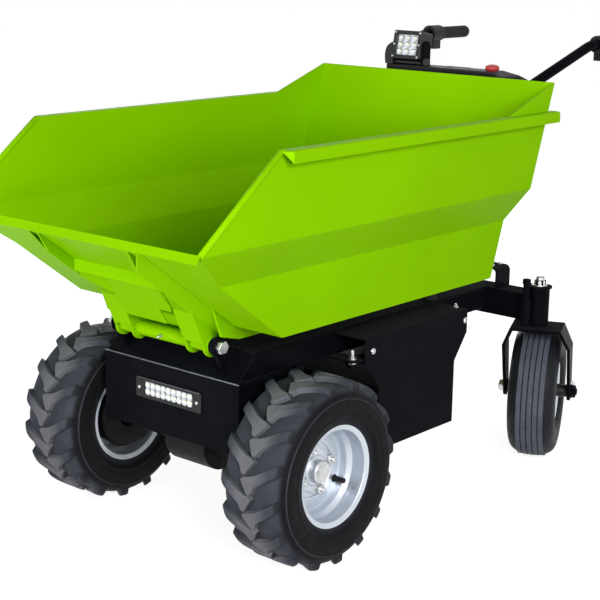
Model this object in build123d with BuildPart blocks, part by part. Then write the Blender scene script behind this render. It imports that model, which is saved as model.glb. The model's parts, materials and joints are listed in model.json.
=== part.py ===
from build123d import *

import os
from math import atan2, cos, degrees, hypot, pi, radians, sin, sqrt

# Walk-behind electric site dumper: a tipping tub on two driven front wheels and two rear casters.
# Millimetres. +X is forward, +Y is the machine's left, +Z is up, and z = 0 is the ground.
# Stations along X are measured from the front axle. The finished pieces are moved forward by
# AXLE_TO_MID, so that the origin is at the middle of the length and width, on the ground.
AXLE_TO_MID = 472.0

# Fits: a turning shaft, and two pieces of one body side by side
RUN = 0.3
SEAT = 0.1

# Front wheels, 16 x 6.50-8
TYRE_R = 202.5
TYRE_W = 165.0
TRACK = 612.0
RIM_SEAT_R = 102.0
RIM_FLANGE_R = 114.0
RIM_W = 137.0
RIM_T = 4.0
RIM_WELL_DEPTH = 8.0
DISC_T = 6.0
HUB_NECK_R = 20.0
HUB_CAP_R = 25.0
HUB_CAP_INSET = 35.0
SPINDLE_R = 12.5
# Tread lugs, in two rows that form a V
LUG_COUNT = 16
LUG_H = 12.5
LUG_T = (28.0, 22.0)
LUG_LEAN = 0.65
LUG_START = -4.0
LUG_FLAT = 54.0
LUG_SHOULDER = 72.0
LUG_SHOULDER_DROP = 10.0
LUG_FOOT_DROP = 37.0
LUG_ROOT = 15.0
TYRE_SIDES = 32

# Rear casters, 13 x 5.00-6
CASTER_R = 170.0
CASTER_W = 118.0
CASTER_SIDES = 30
CASTER_SEAT_R = 76.0
CASTER_FLANGE_R = 86.0
CASTER_RIM_W = 88.0
CASTER_HUB_R = 15.0
CASTER_X = -851.0
CASTER_Y = 320.0
CASTER_TRAIL = 70.0
CASTER_SWING = 25.0
CASTER_AXLE_R = 10.0
PIVOT_TUBE_R = 25.0
PIVOT_TUBE_Z = (360.0, 448.0)
PIVOT_CAP_R = 30.0
PIVOT_CAP_T = 5.0
KINGPIN_R = 12.5
KINGPIN_STUD = 8.0
WASHER_R = 18.0
WASHER_T = 3.0
FORK_T = 8.0
FORK_TOP_Z = 354.0
FORK_TOP_HALF = 62.0
FORK_HALF = 84.0
FORK_SHOULDER_Z = 300.0
FORK_TOP_REACH = (58.0, 44.0)
FORK_ARM_REACH = 20.0
FORK_EYE_R = 24.0
NUT_R = 14.5
NUT_T = 12.0
AXLE_NUT_R = 16.5
AXLE_END = 6.0

# Tyre side walls: height above the rim flange and half width, as shares of the whole
TYRE_SHAPE = ((0.40, 1.0), (0.72, 0.96), (0.93, 0.80), (1.0, 0.55))

# Tub sheet and its outline, seen from the side
TUB_T = 3.0
TUB_BEND_R = 6.0
TUB_FLOOR_Z = 500.0
TUB_FLOOR_FRONT_X = 87.0
TUB_FLOOR_REAR_X = -658.6
LIP_X = 380.0
LIP_Z = 717.0
LIP_DROP = 12.5
LIP_REACH = 11.0
RIM_Z = 888.0
RIM_FRONT_X = 161.0
SHOULDER_X = -624.0
REAR_TOP_X = -815.0
REAR_TOP_Z = 953.0
# Tub halves, seen from the front
TUB_TOP_HALF = 352.0
BAND_STEP = 52.0
TUB_LOW_HALF = TUB_TOP_HALF - BAND_STEP
BAND_TOP_Z = 712.0
BAND_LOW_Z = 633.0
# Folded rim along each side, and the hem on the sloping front edge
RIM_FOLD = 25.0
RIM_REAR_X = -806.0
RIM_START_X = 146.0
HEM_PROUD = 7.0
HEM_DEPTH = 9.0
# Stiffening ribs under the tub's floor
RIB_Z = 470.0
RIB_T = 6.0
RIB_X = (-640.0, 72.0)
RIB_GUSSET = (125.0, 484.0)
RIB_TOP_X = 150.0

# Chassis between the front wheels: front cover and rails
WHEEL_GAP = 21.5
COVER_HALF = TRACK / 2 - TYRE_W / 2 - WHEEL_GAP
COVER_X = 106.0
COVER_Z = (229.0, 384.0)
COVER_TOP_X = -60.0
COVER_SIDE_X = -100.0
SHEET_T = 3.0
RAIL_INSET = 5.0
RAIL_W = 47.0
RAIL_Y = (COVER_HALF - RAIL_INSET - RAIL_W, COVER_HALF - RAIL_INSET)
RAIL_Z = (384.0, 440.0)
RAIL_SLANT = 56.0
CROSS_X = (-640.0, -600.0)
CROSS_Z = (390.0, 434.0)
# Rear beam
BEAM_W = 60.0
BEAM_END = 14.0
BEAM_Z = (367.0, 433.0)
LOCK_R = 12.0
LOCK_Y = 308.0
LOCK_Z = (360.0, 425.0)
LOCK_PIN_R = 8.0
LOCK_PIN_TOP_Z = 462.0
LOCK_KNOB_R = 10.0
LOCK_KNOB_H = 12.0

# Tipping hinge, between brackets inside the rails
HINGE_X = 112.0
HINGE_Z = 458.0
PIN_R = 9.0
BRACKET_T = 10.0
BRACKET_IN = RAIL_Y[0] - BRACKET_T
BRACKET_FOOT = (14.0, 50.0)
BOSS_R = 19.0
BOSS_IN_PROUD = 1.0
BOSS_OUT_PROUD = 4.0
BOSS_Y = (BRACKET_IN - BOSS_IN_PROUD, BRACKET_IN + BRACKET_T + BOSS_OUT_PROUD)
HINGE_TUBE_R = 16.0
HINGE_END_GAP = 3.0
HINGE_TUBE_HALF = BOSS_Y[0] - HINGE_END_GAP
# Legs that carry the tub on its hinge, with a wing that flares out to the sloping plate
LEG_GAP = 6.0
LEG_W = 55.0
LEG_OUT = BOSS_Y[0] - LEG_GAP
LEG_IN = LEG_OUT - LEG_W
LEG_T = 5.0
LEG_EYE_R = 25.0
LEG_TOP_X = 350.0
LEG_TAPER_X = 320.0
LEG_DEPTH = 22.0
LEG_KINK_X = 173.0
LEG_INNER_X = 200.0
LEG_WEB_START = 8.0
WING_W = 32.0
WING_OUT = LEG_OUT + WING_W
# Brace and cross bar between the legs
BRACE_T = 5.0
BRACE_LOW = (150.0, 497.4)
BRACE_TOP = (208.0, 586.4)
WINDOW_Y = 43.0
WINDOW_TOP_Z = 530.0
CROSS_BAR_X = 255.0

# Drive axle under the front cover
AXLE_TUBE_R = 25.0
AXLE_TUBE_INSET = 7.0
AXLE_TUBE_HALF = COVER_HALF - AXLE_TUBE_INSET
GEAR_CASE_R = 62.0
GEAR_CASE_HALF = 60.0
MOTOR_R = 52.0
MOTOR_REACH = 225.0
MOTOR_Z = 226.0
CARRIER_GAP = 22.0
CARRIER_T = 8.0
CARRIER_OUT = RAIL_Y[0] - CARRIER_GAP
CARRIER_HALF_X = 40.0

# Battery box between the axles
BOX_TOP_X = (-592.0, -205.0)
BOX_LOW_X = (-545.0, -255.0)
BOX_TOP_Z = 435.0
BOX_SHOULDER_Z = 379.0
BOX_WAIST_Z = 318.0
BOX_LOW_Z = 170.0
BOX_HALF = 285.0
BATTERY_GAP = 8.0
BATTERY_TOP_Z = 372.0

# Rubber buffers that the tub's ribs rest on
BUFFER_R = 19.0
BUFFER_X = -590.0

# Handlebar and its base on the rear beam
BASE_HALF = 214.0
BASE_TOP_Z = 485.0
BASE_T = 6.0
BASE_BEND_R = 14.0
TUBE_R = 12.5
UPRIGHT_Y = 165.0
GRIP_Y = 262.0
GRIP_Z = 1021.0
UPRIGHT_DROP = 151.0
GRIP_BEND_X = -1130.0
TUBE_BEND_R = 60.0
GRIP_X = (-1335.0, -1207.0)
GRIP_R = 16.5
GRIP_END_T = 5.0
GRIP_COLLAR_R = 20.0
GRIP_COLLAR_T = 6.0
HOUSING_X = (-1205.0, -1157.0)
HOUSING_R = 22.0
SWITCH_X = (-1198.0, -1168.0)
SWITCH_HALF = 13.0
SWITCH_DROP = 42.0
# Console, hung from the height of the grips
PANEL_DROP = 59.0
PANEL_TOP_Z = GRIP_Z - PANEL_DROP
PANEL_HALF = 176.0
PANEL_X = (-990.0, -848.0)
PANEL_T = 26.0
PANEL_FALL = 28.0
PANEL_CORNER_R = 12.0
CONSOLE_X = (-905.0, -842.0)
CONSOLE_H = 136.0
BUTTON_X = -876.0
BUTTON_Y = 136.0
BUTTON_R = 18.0
BUTTON_H = 16.0
BUTTON_STEM_R = 11.0
BUTTON_STEM_H = 7.0
BUTTON_EDGE = 3.0

# Front lamp bar
BAR_HALF = 98.0
BAR_Z = (301.0, 345.0)
BAR_PROUD = 5.0
BAR_DEPTH = 34.0
BAR_FLANGE = 4.0
BAR_LENS_HALF = 73.0
BAR_LENS_Z = (308.0, 338.0)
BAR_LENS_T = 3.0

# Work lamp on the console
LAMP_Y = -110.0
LAMP_X = -874.0
LAMP_RISE = 46.0
LAMP_Z = PANEL_TOP_Z + LAMP_RISE
LAMP_W = 88.0
LAMP_H = 72.0
LAMP_D = 48.0
LAMP_TILT = 12.0
LAMP_LENS_W = 66.0
LAMP_LENS_H = 52.0
LAMP_LENS_T = 4.0
LAMP_EAR_T = 4.0
LAMP_EAR_GAP = 1.0
LAMP_EAR_W = 30.0
LAMP_BOLT_R = 5.0


def offset_line(points, distance):
    """The corners of a bent line, moved sideways to the left of its direction."""
    moved = []
    for i, (x, y) in enumerate(points):
        normals = []
        for a, b in ((i - 1, i), (i, i + 1)):
            if a >= 0 and b < len(points):
                dx, dy = points[b][0] - points[a][0], points[b][1] - points[a][1]
                normals.append((-dy / hypot(dx, dy), dx / hypot(dx, dy)))
        nx, ny = sum(n[0] for n in normals), sum(n[1] for n in normals)
        scale = distance * len(normals) / (nx * nx + ny * ny)
        moved.append((x + nx * scale, y + ny * scale))
    return moved


def bent_sheet(points, thickness):
    """The closed outline of a sheet folded along a line of points."""
    return points + offset_line(points, thickness)[::-1]


def round_corner(point, radius):
    """Rounds the corner of the open sketch that lies at a point, given in the sketch's own plane."""
    fillet(vertices().sort_by_distance(Vector(*point))[0], radius=radius)


def mirrored(points):
    """A half outline and its mirror image, as one closed outline."""
    return points + [(-x, y) for x, y in reversed(points)]


def side_plane(y):
    """A plane facing the machine's right, at y, drawn in X and Z."""
    return Plane.XZ.offset(-y)


def keep(piece, name):
    """Moves a finished piece to the row's origin, labels it and writes it."""
    placed = piece.moved(Location((AXLE_TO_MID, 0, 0)))
    placed.label = name
    export_step(placed, f"parts/{name}.step")


def keep_pair(make, name):
    """Writes a left piece and its mirror image on the right."""
    left = make()
    keep(left, f"{name}_left")
    with BuildPart() as right:
        mirror(left, about=Plane.XZ)
    keep(right.part, f"{name}_right")


def both_sides(piece):
    """A left piece and its mirror image, as two solids of one node."""
    with BuildPart() as pair:
        add(piece)
        mirror(piece, about=Plane.XZ)
    return pair.part


os.makedirs("parts", exist_ok=True)

# Outlines that several tub pieces share
SLOPE = (LIP_Z - TUB_FLOOR_Z) / (LIP_X - TUB_FLOOR_FRONT_X)
REAR_LEAN = (TUB_FLOOR_REAR_X - REAR_TOP_X) / (REAR_TOP_Z - TUB_FLOOR_Z)
REAR_T_X = TUB_T * hypot(1, REAR_LEAN)
SIDE_PROFILE = [
    (TUB_LOW_HALF, TUB_FLOOR_Z),
    (TUB_LOW_HALF, BAND_LOW_Z),
    (TUB_TOP_HALF, BAND_TOP_Z),
    (TUB_TOP_HALF, REAR_TOP_Z),
]
INNER_PROFILE = offset_line(SIDE_PROFILE, TUB_T)
# Bend radii below and above the band, outside and inside the sheet
BEND_OUTSIDE = (TUB_BEND_R, TUB_BEND_R + TUB_T)
BEND_INSIDE = (TUB_BEND_R + TUB_T, TUB_BEND_R)
TUB_OUTLINE = [
    (TUB_FLOOR_REAR_X, TUB_FLOOR_Z),
    (TUB_FLOOR_FRONT_X, TUB_FLOOR_Z),
    (LIP_X, LIP_Z),
    (RIM_FRONT_X, RIM_Z),
    (SHOULDER_X, RIM_Z),
    (REAR_TOP_X, REAR_TOP_Z),
]
TUB_LENGTH = LIP_X - REAR_TOP_X


def slope_z(x):
    """Height of the underside of the tub's sloping front plate."""
    return TUB_FLOOR_Z + (x - TUB_FLOOR_FRONT_X) * SLOPE


def draw_tub_inside():
    """The inside of the tub, seen from the front, as an area of the open sketch."""
    Polygon(*mirrored(INNER_PROFILE), align=None)
    for (y, z), radius in zip(INNER_PROFILE[1:3], BEND_INSIDE):
        round_corner((y, z), radius)
        round_corner((-y, z), radius)


# Tub floor and sloping front plate, one folded sheet between the sides
floor_rear_x = TUB_FLOOR_REAR_X + REAR_T_X
floor_under = [(floor_rear_x, TUB_FLOOR_Z), (TUB_FLOOR_FRONT_X, TUB_FLOOR_Z), (LIP_X, LIP_Z)]
floor_top = offset_line(floor_under, TUB_T)
floor_top[0] = (floor_rear_x - TUB_T * REAR_LEAN, TUB_FLOOR_Z + TUB_T)
with BuildPart() as tub_floor:
    with BuildSketch(Plane.XZ):
        Polygon(*floor_under, *reversed(floor_top), align=None)
        round_corner(floor_under[1], TUB_BEND_R + TUB_T)
        round_corner(floor_top[1], TUB_BEND_R)
    extrude(amount=TUB_TOP_HALF, both=True)
    with BuildSketch(Plane.YZ.offset(REAR_TOP_X)):
        draw_tub_inside()
    extrude(amount=TUB_LENGTH, mode=Mode.INTERSECT)
keep(tub_floor.part, "tub_floor")

# Tub rear wall, leaning back
with BuildPart() as tub_rear_wall:
    with BuildSketch(Plane.XZ):
        Polygon(
            (TUB_FLOOR_REAR_X, TUB_FLOOR_Z),
            (floor_rear_x, TUB_FLOOR_Z),
            (REAR_TOP_X + REAR_T_X, REAR_TOP_Z),
            (REAR_TOP_X, REAR_TOP_Z),
            align=None,
        )
    extrude(amount=TUB_TOP_HALF, both=True)
    with BuildSketch(Plane.YZ.offset(REAR_TOP_X)):
        draw_tub_inside()
    extrude(amount=TUB_LENGTH, mode=Mode.INTERSECT)
keep(tub_rear_wall.part, "tub_rear_wall")


def make_tub_side():
    """Stepped side wall with a folded rim along its top and a hem on its front edge."""
    front_edge = [(LIP_X, LIP_Z), (RIM_FRONT_X, RIM_Z)]
    rim_out = TUB_TOP_HALF + RIM_FOLD
    rim_fold = [(TUB_TOP_HALF, RIM_Z), (rim_out, RIM_Z), (rim_out, RIM_Z - RIM_FOLD)]
    with BuildPart() as side:
        with BuildSketch(Plane.YZ.offset(REAR_TOP_X)):
            Polygon(*bent_sheet(SIDE_PROFILE, TUB_T), align=None)
            for bend, radius in zip(SIDE_PROFILE[1:3], BEND_OUTSIDE):
                round_corner(bend, radius)
            for bend, radius in zip(INNER_PROFILE[1:3], BEND_INSIDE):
                round_corner(bend, radius)
        extrude(amount=TUB_LENGTH)
        with BuildSketch(Plane.XZ):
            Polygon(*TUB_OUTLINE, align=None)
            round_corner(floor_under[1], TUB_BEND_R + TUB_T)
        extrude(amount=TUB_TOP_HALF, both=True, mode=Mode.INTERSECT)
        with BuildSketch(Plane.YZ.offset(RIM_REAR_X)):
            Polygon(*bent_sheet(rim_fold, -TUB_T), align=None)
            round_corner(rim_fold[1], TUB_BEND_R)
            round_corner(offset_line(rim_fold, -TUB_T)[1], TUB_BEND_R - TUB_T)
        extrude(amount=RIM_START_X - RIM_REAR_X)
        with BuildSketch(side_plane(TUB_TOP_HALF + HEM_PROUD)):
            Polygon(*bent_sheet(front_edge, HEM_DEPTH), align=None)
        extrude(amount=HEM_PROUD + TUB_T)
    return side.part


keep_pair(make_tub_side, "tub_side")

# Folded lip along the front of the sloping plate
lip_front = (LIP_X + LIP_REACH, LIP_Z - LIP_DROP)
lip_under = offset_line([floor_top[2], lip_front], -TUB_T)[1]
with BuildPart() as tub_lip:
    with BuildSketch(Plane.XZ):
        Polygon(floor_top[2], lip_front, lip_under, (LIP_X, LIP_Z), align=None)
    extrude(amount=TUB_TOP_HALF + HEM_PROUD, both=True)
keep(tub_lip.part, "tub_lip")


SLOPE_FACE = Plane(
    origin=(TUB_FLOOR_FRONT_X, 0, TUB_FLOOR_Z), x_dir=(0, 1, 0), z_dir=(1, 0, SLOPE)
)
LEG_DROP = LEG_DEPTH * hypot(1, SLOPE)


def make_tub_leg():
    """Leg under the sloping plate: two plates with eyes on the hinge tube, a web and a flared wing."""
    eye_back, eye_front = HINGE_X - LEG_EYE_R, HINGE_X + LEG_EYE_R
    top = (LEG_TOP_X, slope_z(LEG_TOP_X))
    tip = offset_line([(TUB_FLOOR_FRONT_X, TUB_FLOOR_Z), top], -LEG_DEPTH)[1]
    kink = (LEG_KINK_X, slope_z(LEG_KINK_X) - LEG_DROP)
    taper = (LEG_TAPER_X, slope_z(LEG_TAPER_X) - LEG_DROP)
    back = (eye_back, max(slope_z(eye_back), TUB_FLOOR_Z))
    low = [(eye_back, HINGE_Z), (eye_front, HINGE_Z), kink]
    outer = low + [tip, top, back]
    inner = low + [(LEG_INNER_X, slope_z(LEG_INNER_X)), back]
    share = LEG_WEB_START / hypot(kink[0] - eye_front, kink[1] - HINGE_Z)
    web_low = (eye_front + (kink[0] - eye_front) * share, HINGE_Z + (kink[1] - HINGE_Z) * share)
    with BuildPart() as leg:
        for y, plate in ((LEG_OUT, outer), (LEG_IN + LEG_T, inner)):
            with BuildSketch(side_plane(y)):
                Polygon(*plate, align=None)
                with Locations((HINGE_X, HINGE_Z)):
                    Circle(LEG_EYE_R)
                    Circle(HINGE_TUBE_R + SEAT, mode=Mode.SUBTRACT)
            extrude(amount=LEG_T)
        with BuildSketch(side_plane(LEG_OUT)):
            Polygon(*bent_sheet([web_low, kink], LEG_T), align=None)
        extrude(amount=LEG_OUT - LEG_IN)
        with BuildSketch(SLOPE_FACE):
            Polygon(
                (LEG_OUT, -LEG_DEPTH),
                (WING_OUT, 0),
                (WING_OUT - LEG_T, 0),
                (LEG_OUT - LEG_T, -LEG_DEPTH),
                align=None,
            )
        extrude(amount=(LEG_TOP_X - TUB_FLOOR_FRONT_X) * hypot(1, SLOPE))
        with BuildSketch(Plane.XZ):
            Polygon(
                (TUB_FLOOR_FRONT_X, TUB_FLOOR_Z),
                (LIP_X, LIP_Z),
                (LIP_X, RIM_Z),
                (TUB_FLOOR_FRONT_X, RIM_Z),
                align=None,
            )
            Polygon(taper, top, (LIP_X, top[1]), (LIP_X, taper[1]), align=None)
        extrude(amount=WING_OUT, both=True, mode=Mode.SUBTRACT)
    return leg.part


keep(both_sides(make_tub_leg()), "tub_legs")

# Hinge tube that turns on the pin
with BuildPart() as hinge_tube:
    with BuildSketch(side_plane(HINGE_TUBE_HALF)):
        with Locations((HINGE_X, HINGE_Z)):
            Circle(HINGE_TUBE_R)
            Circle(PIN_R + RUN, mode=Mode.SUBTRACT)
    extrude(amount=2 * HINGE_TUBE_HALF)
keep(hinge_tube.part, "hinge_tube")

# Brace between the legs' inner plates, with a window beside the left leg
with BuildPart() as tub_brace:
    with BuildSketch(side_plane(LEG_IN)):
        Polygon(*bent_sheet([BRACE_LOW, BRACE_TOP], -BRACE_T), align=None)
    extrude(amount=2 * LEG_IN)
    with BuildSketch(Plane.YZ.offset(HINGE_X)):
        Polygon(
            (WINDOW_Y, HINGE_Z),
            (LEG_IN, HINGE_Z),
            (LEG_IN, WINDOW_TOP_Z),
            (WINDOW_Y, WINDOW_TOP_Z),
            align=None,
        )
    extrude(amount=LEG_TOP_X - HINGE_X, mode=Mode.SUBTRACT)
keep(tub_brace.part, "tub_brace")

# Upright cross bar under the sloping plate, between the legs
cross_bar_back = CROSS_BAR_X - BRACE_T
cross_bar_low = slope_z(CROSS_BAR_X) - LEG_DROP
with BuildPart() as tub_cross_bar:
    with BuildSketch(side_plane(LEG_OUT - LEG_T - SEAT)):
        Polygon(
            (cross_bar_back, cross_bar_low),
            (CROSS_BAR_X, cross_bar_low),
            (CROSS_BAR_X, slope_z(CROSS_BAR_X)),
            (cross_bar_back, slope_z(cross_bar_back)),
            align=None,
        )
    extrude(amount=2 * (LEG_OUT - LEG_T - SEAT))
keep(tub_cross_bar.part, "tub_cross_bar")

# Ribs under the floor, above the chassis rails, each with a gusset that runs up the sloping plate
with BuildPart() as rib:
    with BuildSketch(side_plane(WING_OUT + SEAT + RIB_T)):
        Polygon(
            (RIB_X[0], RIB_Z),
            (RIB_X[1], RIB_Z),
            RIB_GUSSET,
            (RIB_TOP_X, slope_z(RIB_TOP_X)),
            (TUB_FLOOR_FRONT_X, TUB_FLOOR_Z),
            (RIB_X[0], TUB_FLOOR_Z),
            align=None,
        )
    extrude(amount=RIB_T)
keep(both_sides(rib.part), "tub_ribs")

# Hinge pin with a nut at each end, held in the two brackets
with BuildPart() as hinge_pin:
    with BuildSketch(side_plane(BOSS_Y[1] + NUT_T)):
        with Locations((HINGE_X, HINGE_Z)):
            Circle(PIN_R)
    extrude(amount=2 * (BOSS_Y[1] + NUT_T))
    for y in (BOSS_Y[1] + NUT_T, -BOSS_Y[1]):
        with BuildSketch(side_plane(y)):
            with Locations((HINGE_X, HINGE_Z)):
                RegularPolygon(NUT_R, 6)
        extrude(amount=NUT_T)
keep(hinge_pin.part, "hinge_pin")

# Pivot brackets that stand on the slanted plate of the front cover
SLANT = (RAIL_Z[1] - RAIL_Z[0]) / RAIL_SLANT
foot_low = (COVER_X - BRACKET_FOOT[0], RAIL_Z[0] + BRACKET_FOOT[0] * SLANT)
foot_high = (COVER_X - BRACKET_FOOT[1], RAIL_Z[0] + BRACKET_FOOT[1] * SLANT)
with BuildPart() as pivot_bracket:
    with BuildSketch(side_plane(BRACKET_IN + BRACKET_T)):
        Polygon(
            foot_low,
            (HINGE_X + BOSS_R, HINGE_Z),
            (HINGE_X - BOSS_R, HINGE_Z),
            foot_high,
            align=None,
        )
        with Locations((HINGE_X, HINGE_Z)):
            Circle(BOSS_R)
    extrude(amount=BRACKET_T)
    with BuildSketch(side_plane(BOSS_Y[1])):
        with Locations((HINGE_X, HINGE_Z)):
            Circle(BOSS_R)
    extrude(amount=BOSS_Y[1] - BOSS_Y[0])
    with BuildSketch(side_plane(BOSS_Y[1])):
        with Locations((HINGE_X, HINGE_Z)):
            Circle(PIN_R + SEAT)
    extrude(amount=BOSS_Y[1] - BOSS_Y[0], mode=Mode.SUBTRACT)
keep(both_sides(pivot_bracket.part), "pivot_brackets")

# Front cover: a front plate with sides, a slanted plate and top between the rails, and the lamp's cut-out
with BuildPart() as front_cover:
    with BuildSketch(Plane.YZ.offset(COVER_X)):
        with Locations((0, (COVER_Z[0] + COVER_Z[1]) / 2)):
            Rectangle(2 * COVER_HALF, COVER_Z[1] - COVER_Z[0])
    extrude(amount=-SHEET_T)
    with BuildSketch(side_plane(RAIL_Y[0])):
        Polygon(
            *bent_sheet(
                [
                    (COVER_X, RAIL_Z[0]),
                    (COVER_X - RAIL_SLANT, RAIL_Z[1]),
                    (COVER_TOP_X, RAIL_Z[1]),
                ],
                SHEET_T,
            ),
            align=None,
        )
    extrude(amount=2 * RAIL_Y[0])
    for y in (COVER_HALF, SHEET_T - COVER_HALF):
        with BuildSketch(side_plane(y)):
            Polygon(
                (COVER_X, COVER_Z[0]),
                (COVER_X, COVER_Z[1]),
                (COVER_SIDE_X, COVER_Z[1]),
                (COVER_TOP_X, COVER_Z[0]),
                align=None,
            )
        extrude(amount=SHEET_T)
    with BuildSketch(Plane.YZ.offset(COVER_X - SHEET_T)):
        with Locations((0, (BAR_Z[0] + BAR_Z[1]) / 2)):
            Rectangle(2 * (BAR_HALF - BAR_FLANGE), BAR_Z[1] - BAR_Z[0] - 2 * BAR_FLANGE)
    extrude(amount=SHEET_T, mode=Mode.SUBTRACT)
keep(front_cover.part, "front_cover")

# Lamp bar let into the front cover: a bezel with a body behind it, and its lens
bar_mid_z = (BAR_Z[0] + BAR_Z[1]) / 2
bar_height = BAR_Z[1] - BAR_Z[0]
with BuildPart() as front_lamp_bezel:
    with BuildSketch(Plane.YZ.offset(COVER_X)):
        with Locations((0, bar_mid_z)):
            RectangleRounded(2 * BAR_HALF, bar_height, BAR_FLANGE)
    extrude(amount=BAR_PROUD)
    with BuildSketch(Plane.YZ.offset(COVER_X)):
        with Locations((0, bar_mid_z)):
            Rectangle(
                2 * (BAR_HALF - BAR_FLANGE) - 2 * SEAT, bar_height - 2 * BAR_FLANGE - 2 * SEAT
            )
    extrude(amount=-BAR_DEPTH)
    with BuildSketch(Plane.YZ.offset(COVER_X + BAR_PROUD)):
        with Locations((0, sum(BAR_LENS_Z) / 2)):
            Rectangle(2 * BAR_LENS_HALF, BAR_LENS_Z[1] - BAR_LENS_Z[0])
    extrude(amount=-2 * BAR_LENS_T, mode=Mode.SUBTRACT)
keep(front_lamp_bezel.part, "front_lamp_bezel")

with BuildPart() as front_lamp_lens:
    with BuildSketch(Plane.YZ.offset(COVER_X + BAR_PROUD - 2 * BAR_LENS_T)):
        with Locations((0, sum(BAR_LENS_Z) / 2)):
            Rectangle(2 * (BAR_LENS_HALF - SEAT), BAR_LENS_Z[1] - BAR_LENS_Z[0] - 2 * SEAT)
    extrude(amount=BAR_LENS_T)
keep(front_lamp_lens.part, "front_lamp_lens")

# Chassis rails, slanted at the front, from the front cover to the rear beam
beam_front_x = CASTER_X + BEAM_W / 2
with BuildPart() as rail:
    with BuildSketch(side_plane(RAIL_Y[1])):
        Polygon(
            (beam_front_x, RAIL_Z[0]),
            (COVER_X, RAIL_Z[0]),
            (COVER_X - RAIL_SLANT, RAIL_Z[1]),
            (beam_front_x, RAIL_Z[1]),
            align=None,
        )
    extrude(amount=RAIL_Y[1] - RAIL_Y[0])
keep(both_sides(rail.part), "frame_rails")

with BuildPart() as frame_cross_member:
    with BuildSketch(Plane.XZ):
        Polygon(
            (CROSS_X[0], CROSS_Z[0]),
            (CROSS_X[1], CROSS_Z[0]),
            (CROSS_X[1], CROSS_Z[1]),
            (CROSS_X[0], CROSS_Z[1]),
            align=None,
        )
    extrude(amount=RAIL_Y[0], both=True)
keep(frame_cross_member.part, "frame_cross_member")

# Rear beam with a caster pivot tube at each end
with BuildPart() as rear_beam:
    with BuildSketch(Plane.XZ):
        Polygon(
            (CASTER_X - BEAM_W / 2, BEAM_Z[0]),
            (beam_front_x, BEAM_Z[0]),
            (beam_front_x, BEAM_Z[1]),
            (CASTER_X - BEAM_W / 2, BEAM_Z[1]),
            align=None,
        )
    extrude(amount=CASTER_Y - BEAM_END, both=True)
    with BuildSketch(Plane.XY.offset(PIVOT_TUBE_Z[0])):
        with Locations((CASTER_X, CASTER_Y), (CASTER_X, -CASTER_Y)):
            Circle(PIVOT_TUBE_R)
    extrude(amount=PIVOT_TUBE_Z[1] - PIVOT_TUBE_Z[0])
    with BuildSketch(Plane.XY.offset(PIVOT_TUBE_Z[0])):
        with Locations((CASTER_X, CASTER_Y), (CASTER_X, -CASTER_Y)):
            Circle(KINGPIN_R + RUN)
    extrude(amount=PIVOT_TUBE_Z[1] - PIVOT_TUBE_Z[0], mode=Mode.SUBTRACT)
keep(rear_beam.part, "rear_beam")

# Spring pins on the front of the beam that lock the casters straight
with BuildPart() as caster_lock:
    with BuildSketch(Plane.XY.offset(LOCK_Z[0])):
        with Locations((beam_front_x + LOCK_R, LOCK_Y)):
            Circle(LOCK_R)
        with Locations((beam_front_x + LOCK_R / 2, LOCK_Y)):
            Rectangle(LOCK_R, 2 * LOCK_PIN_R)
    extrude(amount=LOCK_Z[1] - LOCK_Z[0])
    with BuildSketch(Plane.XY.offset(LOCK_Z[1])):
        with Locations((beam_front_x + LOCK_R, LOCK_Y)):
            Circle(LOCK_PIN_R)
    extrude(amount=LOCK_PIN_TOP_Z - LOCK_Z[1])
    with BuildSketch(Plane.XY.offset(LOCK_PIN_TOP_Z)):
        with Locations((beam_front_x + LOCK_R, LOCK_Y)):
            Circle(LOCK_KNOB_R)
    extrude(amount=LOCK_KNOB_H)
keep(both_sides(caster_lock.part), "caster_locks")

# Drive axle: axle tube with spindles, gear case and motor
with BuildPart() as transaxle:
    for radius, half in (
        (AXLE_TUBE_R, AXLE_TUBE_HALF),
        (GEAR_CASE_R, GEAR_CASE_HALF),
        (SPINDLE_R, TRACK / 2),
    ):
        with BuildSketch(side_plane(half)):
            with Locations((0, TYRE_R)):
                Circle(radius)
        extrude(amount=2 * half)
    with BuildSketch(Plane.YZ):
        with Locations((0, MOTOR_Z)):
            Circle(MOTOR_R)
    extrude(amount=-MOTOR_REACH)
keep(transaxle.part, "transaxle")

# Plates that hang the axle from the front cover
with BuildPart() as axle_carrier:
    with BuildSketch(side_plane(CARRIER_OUT)):
        Polygon(
            (-AXLE_TUBE_R, TYRE_R),
            (AXLE_TUBE_R, TYRE_R),
            (CARRIER_HALF_X, RAIL_Z[1] - SHEET_T),
            (-CARRIER_HALF_X, RAIL_Z[1] - SHEET_T),
            align=None,
        )
        with Locations((0, TYRE_R)):
            Circle(AXLE_TUBE_R + SHEET_T)
            Circle(AXLE_TUBE_R + SEAT, mode=Mode.SUBTRACT)
    extrude(amount=CARRIER_T)
keep(both_sides(axle_carrier.part), "axle_carriers")

# Battery box: side covers with a folded top, a tray between them, and the batteries as one block
cover_edge = [
    (BOX_LOW_X[0], BOX_LOW_Z),
    (BOX_LOW_X[1], BOX_LOW_Z),
    (BOX_LOW_X[1], BOX_WAIST_Z),
    (BOX_TOP_X[1], BOX_SHOULDER_Z),
    (BOX_TOP_X[1], BOX_TOP_Z),
    (BOX_TOP_X[0], BOX_TOP_Z),
    (BOX_TOP_X[0], BOX_SHOULDER_Z),
    (BOX_LOW_X[0], BOX_WAIST_Z),
]
with BuildPart() as side_cover:
    with BuildSketch(side_plane(BOX_HALF)):
        Polygon(*cover_edge, align=None)
    extrude(amount=SHEET_T)
    with BuildSketch(Plane.XY.offset(BOX_TOP_Z)):
        Polygon(
            (BOX_TOP_X[0], RAIL_Y[1]),
            (BOX_TOP_X[1], RAIL_Y[1]),
            (BOX_TOP_X[1], BOX_HALF),
            (BOX_TOP_X[0], BOX_HALF),
            align=None,
        )
    extrude(amount=-SHEET_T)
keep(both_sides(side_cover.part), "side_covers")

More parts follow.
